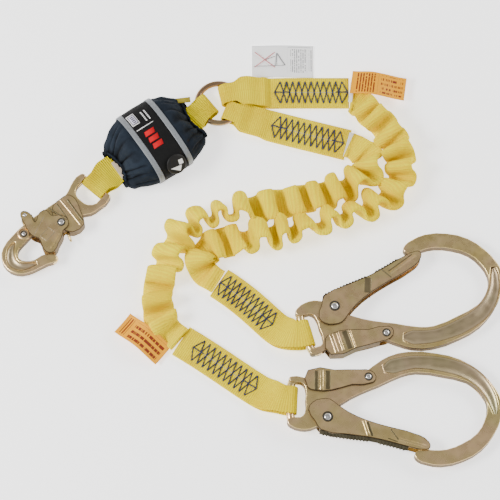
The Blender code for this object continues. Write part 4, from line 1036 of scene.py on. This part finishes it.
def build_pack():
    build_cover()
    band("centre_band", -BAND_HALF, BAND_HALF, 1.0, "band", "absorber_centre_band")
    band("stripe_snap_side", -STRIPE[1], -STRIPE[0], 1.4, "tape", "reflective_stripe_snap_side")
    band("stripe_ring_side", *STRIPE, 1.4, "tape", "reflective_stripe_ring_side")
    end, count = PACK_STATIONS[-1][0], 160
    for side, sign in (("snap", -1), ("ring", 1)):
        points = []
        for j in range(count):
            a = 2 * math.pi * j / count
            ruffle = 0.8 * wobble(math.cos(a) * 9, math.sin(a) * 9, sign * 5)
            along = sign * (end + 1 + 0.7 * ruffle) + lip_pull(end * sign, a)
            points.append(pack_point(end * sign, a, -3.4 + ruffle, along))
        radii = [1.4 + 0.35 * math.sin(j * 2.1) for j in range(count)]
        hem = tube(f"hem_{side}_side", points, radii, sides=8, closed=True)
        finish_piece(hem, "cover", "lanyard", f"elastic_hem_{side}_side")
    way = direction(PACK_ANGLE)
    start = Vector(PACK_CENTRE) - way * (end + 1) - left_of(way) * 4
    low, high = (PACK_STATIONS[0][3] + k * LAYER_STEP / 2 for k in (-1, 1))
    patch, top = Path([start, start + way * 26]), Path([start, start + way * 24])
    strap_piece("wear_pad_patch", patch, low - 1.9, 34.0, 1.2, "pad", "absorber_wear_pad")
    strap_piece("wear_pad_top", top, high + 1.7, 23.0, 1.2, "pad")
    spot = Vector(PACK_CENTRE) + way * 44 + left_of(way) * 27
    # its olive colour is painted shade on yellow webbing
    strap_piece("tear_webbing_end", Path([spot, spot + direction(8) * 17]), 19.5, 6.0, 2.2, "shaded_tab")
    build_prints()
    build_disc()


# --- Steel: ring and hooks ---
def build_ring():
    centre = Vector(RING_CENTRE)
    points = [(*(centre + direction(a) * RING_RADIUS), RING_HEIGHT) for a in range(0, 360, 3)]
    ring = tube("ring_bar", points, RING_WIRE, sides=20, closed=True)
    finish_piece(ring, "zinc_ring", "ring", "connector_ring")


def hook_place(joint, angle, drop=0.0):
    """A hook's own frame in metres: X from its eye to its bowl, tipped down by `drop`."""
    turn = Matrix.Rotation(math.radians(angle), 4, "Z") @ Matrix.Rotation(drop, 4, "Y")
    return Matrix.Translation(JOINTS[joint]["pos_m"]) @ turn


def face_loops(node, place, height):
    """Closed outlines of a CAD node's flat face at one height, in the hook's own plan, largest first."""
    mesh = frame["nodes"][node].data
    inward = place.inverted()
    spots = [inward @ vertex.co / MM for vertex in mesh.vertices]
    ways = {}
    for polygon in mesh.polygons:
        if all(abs(spots[i].z - height) < 0.03 for i in polygon.vertices):
            corners = [(round(spots[i].x, 2), round(spots[i].y, 2)) for i in polygon.vertices]
            for a, b in zip(corners, corners[1:] + corners[:1]):
                if (b, a) in ways:
                    del ways[(b, a)]
                elif a != b:
                    ways[(a, b)] = True
    following = dict(ways.keys())
    loops = []
    while following:
        start, point = next(iter(following.items()))
        loop = [start]
        del following[start]
        while point != start and point in following:
            loop.append(point)
            point = following.pop(point)
        if len(loop) > 5:
            loops.append(loop)
    return sorted(loops, key=lambda loop: -abs(signed_area(loop)))


def to_layout(place, points):
    """Hook-local millimetres to layout millimetres."""
    return [place @ (Vector(p) * MM) / MM - LAYOUT for p in points]


def hook_piece(name, place, points, faces, material, body, flip=False, nodes=()):
    """A mesh piece whose points are in a hook's own millimetres."""
    obj = mesh_object(name, to_layout(place, points), faces, flip=flip)
    finish_piece(obj, material, body, *nodes)


def channel_rows(channel, flip):
    """Rows across a channel: its middle point, its sideways direction and its half width."""
    places = [(x, y * flip) for x, y, _ in channel]
    path, knots = Path(spline_path(places, 10)), Path(places)
    rows, count = [], 70
    for i in range(count + 1):
        share = i / count
        half = np.interp(share * knots.length, knots.at, [h for _, _, h in channel])
        half *= min(1.0, (i + 1.2) / 6) ** 0.5
        s = share * path.length
        rows.append((path.place(s), left_of(path.way(s)), half))
    return rows


def channel_outline(rows):
    left = [tuple(place + side * half) for place, side, half in rows]
    right = [tuple(place - side * half) for place, side, half in rows]
    return left + right[::-1]


def scoop(name, rows, half, depth, place, body):
    """The hollow floor of a forged channel, on both faces of a body, in darker steel that is painted shade.
    """
    for face, sign in FACES:
        points, columns = [], 15
        for spot, side, reach in rows:
            for j in range(columns):
                t = 2 * j / (columns - 1) - 1
                x, y = spot + side * reach * 1.03 * t
                points.append((x, y, (half - 1.0 - depth * (1 - t * t) ** 0.7) * sign))
        faces = grid_faces(len(rows), columns)
        hook_piece(f"{name}_{face}", place, points, faces, "zinc_hollow_shade", body, sign < 0)


def steel_object(name, mesh, flatten=0.0):
    """An object whose doubled points are merged, and whose nearly flat corners may be dissolved."""
    bm = bmesh.new()
    bm.from_mesh(mesh)
    bmesh.ops.remove_doubles(bm, verts=bm.verts, dist=2e-6)
    if flatten:
        bmesh.ops.dissolve_limit(bm, angle_limit=math.radians(flatten), verts=bm.verts, edges=bm.edges)
    bm.to_mesh(mesh)
    bm.free()
    mesh.name = name
    mesh.shade_smooth()
    return place_object(name, mesh)


def keep_flat(obj):
    """Shade a plate by its large faces, so that they look flat between rounded edges."""
    obj.modifiers.new("flat_faces", "WEIGHTED_NORMAL").weight = 100


def forged(name, loops, half, edge, place):
    """A plate with rounded edges, from -half to half; the first loop is its outline, the rest holes."""
    curve = bpy.data.curves.new(name, "CURVE")
    curve.dimensions = "2D"
    curve.fill_mode = "BOTH"
    curve.extrude = (half - edge) * MM
    curve.bevel_depth = edge * MM
    curve.bevel_resolution = 3
    curve.offset = -edge * MM
    for i, loop in enumerate(loops):
        if (signed_area(loop) > 0) != (i == 0):
            loop = loop[::-1]
        spline = curve.splines.new("POLY")
        spline.points.add(len(loop) - 1)
        for point, (x, y) in zip(spline.points, loop):
            point.co = (x * MM, y * MM, 0, 1)
        spline.use_cyclic_u = True
    holder = place_object(name + "_curve", curve)
    bpy.context.view_layer.update()
    mesh = bpy.data.meshes.new_from_object(holder.evaluated_get(bpy.context.evaluated_depsgraph_get()))
    bpy.data.objects.remove(holder)
    mesh.transform(place)
    obj = steel_object(name, mesh)
    keep_flat(obj)
    return obj


def paint_wall_shade(obj, place):
    """Give the faces that stand across a plate a darker copy of its steel, as painted shade on its walls."""
    axis = place.to_3x3() @ Vector((0, 0, 1))
    for material in ("zinc_wall_shade", "outline_shade"):
        obj.data.materials.append(MATERIALS[material])
    for polygon in obj.data.polygons:
        if abs(polygon.normal.dot(axis)) < 0.45:
            polygon.material_index = 1


def dressed(name, node, body, place):
    """A copy of a pressed plate's CAD node with its sharp edges rounded, which stands for it."""
    mesh = frame["nodes"][node].data.copy()
    mesh.materials.clear()
    obj = steel_object(name, mesh, flatten=1.5)
    rounding = obj.modifiers.new("rounding", "BEVEL")
    rounding.width = 0.8 * MM
    rounding.segments = 2
    rounding.limit_method = "ANGLE"
    rounding.angle_limit = math.radians(38)
    # painted shade: the rounded edges take the dark outline material
    rounding.material = 2
    keep_flat(obj)
    finish_piece(obj, "zinc", body, node)
    paint_wall_shade(obj, place)


def outline_shade_line(name, outline, place, height, sign, body):
    """A line of painted shade just inside a pressed plate's outline, on one of its faces."""
    outline = outline if signed_area(outline) > 0 else outline[::-1]
    path = Path([*outline, outline[0]])
    steps = round(path.length / 0.6)
    points = []
    for i in range(steps + 1):
        s = path.length * (i % steps) / steps
        way = path.place(min(s + 0.5, path.length)) - path.place(max(s - 0.5, 0.0))
        inward = left_of(way).normalized()
        for step_in, lift in ((-0.05, -0.3), (0.0, 0.06), (OUTLINE_SHADE_WIDTH * 0.8, 0.06), (OUTLINE_SHADE_WIDTH, -0.1)):
            points.append((*(path.place(s) + inward * step_in), (height + lift) * sign))
    hook_piece(name, place, points, grid_faces(steps + 1, 4), "outline_shade", body, sign < 0)


def lathe(name, profile, place, centre, material, body, *nodes):
    """A piece turned about the hook's own Z, from (radius, height) points."""
    turns = np.linspace(0, 2 * math.pi, 40, endpoint=False)
    points = []
    for radius, height in profile:
        r = max(radius, 0.01)
        points += [(centre[0] + r * math.cos(a), centre[1] + r * math.sin(a), height) for a in turns]
    faces = grid_faces(len(profile), len(turns), round_columns=True)
    hook_piece(name, place, points, faces, material, body, True, nodes)


def rivet(name, place, centre, head, top, body, node):
    """A domed head in a countersunk seat whose dark steel is painted shade, on both faces."""
    for side, sign in FACES:
        for part, material, profile in RIVET_PARTS:
            rows = [(r * head * 0.8, (top + z) * sign) for r, z in profile][::sign]
            nodes = [node] if (side, part) == ("top", "head") else []
            lathe(f"{name}_{side}_{part}", rows, place, centre, material, body, *nodes)


def ridge(name, rib, place, top, sign, flip, body):
    """A pressed rib on a plate's face, rounded across; in a darker steel it is a band of painted shadow. rib
    is start, end, width, height, material.
    """
    a, b, width, height, material = rib
    a, b = (Vector((x, y * flip)) for x, y in (a, b))
    side = left_of((b - a).normalized())
    points, rows, columns = [], 8, 13
    for i in range(rows + 1):
        t = i / rows
        fade = min(1.0, 9 * t + 0.3, 9 * (1 - t) + 0.3) ** 0.5
        for j in range(columns):
            k = 2 * j / (columns - 1) - 1
            spot = a + (b - a) * t + side * k * width / 2
            points.append((*spot, (top + height * fade * (1 - k ** 4) - 0.12) * sign))
    hook_piece(name, place, points, grid_faces(rows + 1, columns), material, body, sign > 0)


def forged_hook(name, node, body, place, half, edge, depth, channel, limb, limb_radius, flip=1):
    """A hook's forging with its rounded edges, the hollow web on both faces and its eye's round bar."""
    rows = channel_rows(channel, flip)
    loops = [*face_loops(node, place, half), channel_outline(rows)]
    forging = forged(f"{name}_forging", loops, half, edge, place)
    finish_piece(forging, "zinc", body, node)
    paint_wall_shade(forging, place)
    scoop(f"{name}_web", rows, half, depth, place, body)
    spots = to_layout(place, [(x, y * flip, 0) for x, y in limb])
    bar = tube(f"{name}_eye_bar", spots, limb_radius, sides=20)
    finish_piece(bar, "zinc", body)


def pressed_plate(name, node, body, place, top, ribs, flip=1):
    """A gate or a lock lever: its channel, and a dark line of painted shade and pressed ribs on both faces.
    """
    dressed(f"{name}_channel", node, body, place)
    outline = face_loops(node, place, top)[0]
    for face, sign in FACES:
        outline_shade_line(f"{name}_seam_{face}", outline, place, top, sign, body)
        for i, rib in enumerate(ribs):
            ridge(f"{name}_ridge_{i}_{face}", rib, place, top, sign, flip, body)


def build_rebar_hook(side, angle, flip):
    """A large hook, whose gate lies towards -Y in its own plan, or towards +Y where flip is -1."""
    hook, gate, lock = f"rebar_hook_{side}", f"rebar_gate_{side}", f"rebar_lock_{side}"
    drop = math.asin((REBAR_HEIGHT - REBAR_HALF) / REBAR_REACH)
    place = hook_place(f"rebar_{side}_swing", angle, drop)
    node, top = f"rebar_{side}", REBAR_PLATE_TOP
    forged_hook(f"hook_{side}", f"{node}_body", hook, place, REBAR_HALF, 1.25, 2.6, REBAR_CHANNEL,
                REBAR_LIMB, 4.5, flip)
    pressed_plate(f"gate_{side}", f"{node}_gate", gate, place, top, REBAR_GATE_RIDGES[side], flip)
    pressed_plate(f"lever_{side}", f"{node}_lock_lever", lock, place, top, REBAR_LEVER_RIDGES[side], flip)
    ribbed_spine(f"gate_{side}_spine", place, flip, gate)
    for name, (x, y), head, rivet_node in (("gate", REBAR_PIVOT, 5.8, "gate_rivet"),
                                           ("lever", REBAR_LOCK_PIVOT, 4.6, "lock_rivet")):
        rivet(f"hook_{side}_{name}_rivet", place, (x, y * flip), head, top, hook, f"{node}_{rivet_node}")
    dress_node(f"{node}_gate_spring", "rivet")
    dress_node(f"{node}_lock_spring", "rivet")


def ribbed_spine(name, place, flip, body):
    """The gate's outer wall, pressed into grip ribs on either side of a plain slot, in near-black steel that
    is painted shade.
    """
    path = Path(spline_path(REBAR_SPINE, 10))
    points, half = [], 6.8
    steps = round(path.length / 0.3)
    heights = np.linspace(-half, half, 13)
    for i in range(steps + 1):
        s = path.length * i / steps
        out = -left_of(path.way(s))
        slot = keyed(((50, 0.0), (52, 1.0), (60, 1.0), (62, 0.0)), s)
        ends = keyed(((0, 0.0), (3, 1.0)), min(s, path.length - s))
        rib = 1.1 * max(0.0, math.sin(2 * math.pi * s / GRIP_PITCH)) ** 0.6 * (1 - slot)
        for z in heights:
            swell = 1 - (abs(z) / half) ** 2.2
            spot = path.place(s) + out * (0.1 + (1.7 + rib - 1.2 * slot) * swell * ends)
            points.append((spot.x, spot.y * flip, z))
    hook_piece(name, place, points, grid_faces(steps + 1, len(heights)), "spine_shade", body, flip > 0)


def dress_node(node, material):
    """A CAD node that keeps its own shape takes a finished material."""
    data = frame["nodes"][node].data
    data.materials.clear()
    data.materials.append(MATERIALS[material])


def build_snap_hook():
    place = hook_place("snap_swing", SNAP_ANGLE)
    hook, gate, lock = "snap_hook", "snap_gate_arm", "snap_lock_arm"
    forged_hook("snap", "snap_hook_body", hook, place, SNAP_HALF, 1.3, 2.4, SNAP_CHANNEL, SNAP_LIMB, 4.0)
    pressed_plate("snap_gate", "snap_gate", gate, place, SNAP_GATE_TOP, SNAP_GATE_RIDGES)
    pressed_plate("snap_lever", "snap_lock_lever", lock, place, SNAP_LEVER_TOP, SNAP_LEVER_RIDGES)
    rivet("snap_pivot", place, SNAP_PIVOT, 4.6, SNAP_GATE_TOP, hook, "snap_gate_rivet")
    rivet("snap_stop", place, SNAP_STOP, 3.8, SNAP_HALF, hook, "snap_stop_rivet")
    knob = [(5.2 * math.sin(a), 5.0 * math.cos(a)) for a in np.linspace(0, math.pi, 17)]
    lathe("snap_nose_knob", knob, place, SNAP_NOSE, "zinc", hook)
    boss = [(r, SNAP_HALF + z) for r, z in ((5.4, 1.3), (6.4, 1.1), (6.9, 0.2), (7.0, -0.3))]
    lathe("snap_stop_boss", boss, place, SNAP_STOP, "zinc", hook)
    ear = [(r, SNAP_GATE_TOP + z) for r, z in ((0.0, 0.9), (1.4, 0.8), (2.0, 0.2), (2.1, -1.2))]
    lathe("snap_ear_pin", ear, place, SNAP_EAR, "rivet", gate)
    tail = to_layout(place, [(57, 16, 2), (59.5, 20, 2), (61.5, 24, 2), (63, 27, 2)])
    finish_piece(tube("snap_spring_tail", tail, [1.3, 1.5, 1.5, 1.1], sides=12), "zinc", hook)
    dress_node("snap_gate_spring", "rivet")
    dress_node("snap_lock_spring", "rivet")


# --- The script's run ---
MATERIALS = make_materials()
make_camera()
make_floor()
make_lights()
build_sleeves()
build_absorber_loops()
build_leg_ends()
build_labels()
build_pack()
build_ring()
build_snap_hook()
build_rebar_hook("a", REBAR_A_ANGLE, -1)
build_rebar_hook("b", REBAR_B_ANGLE, 1)
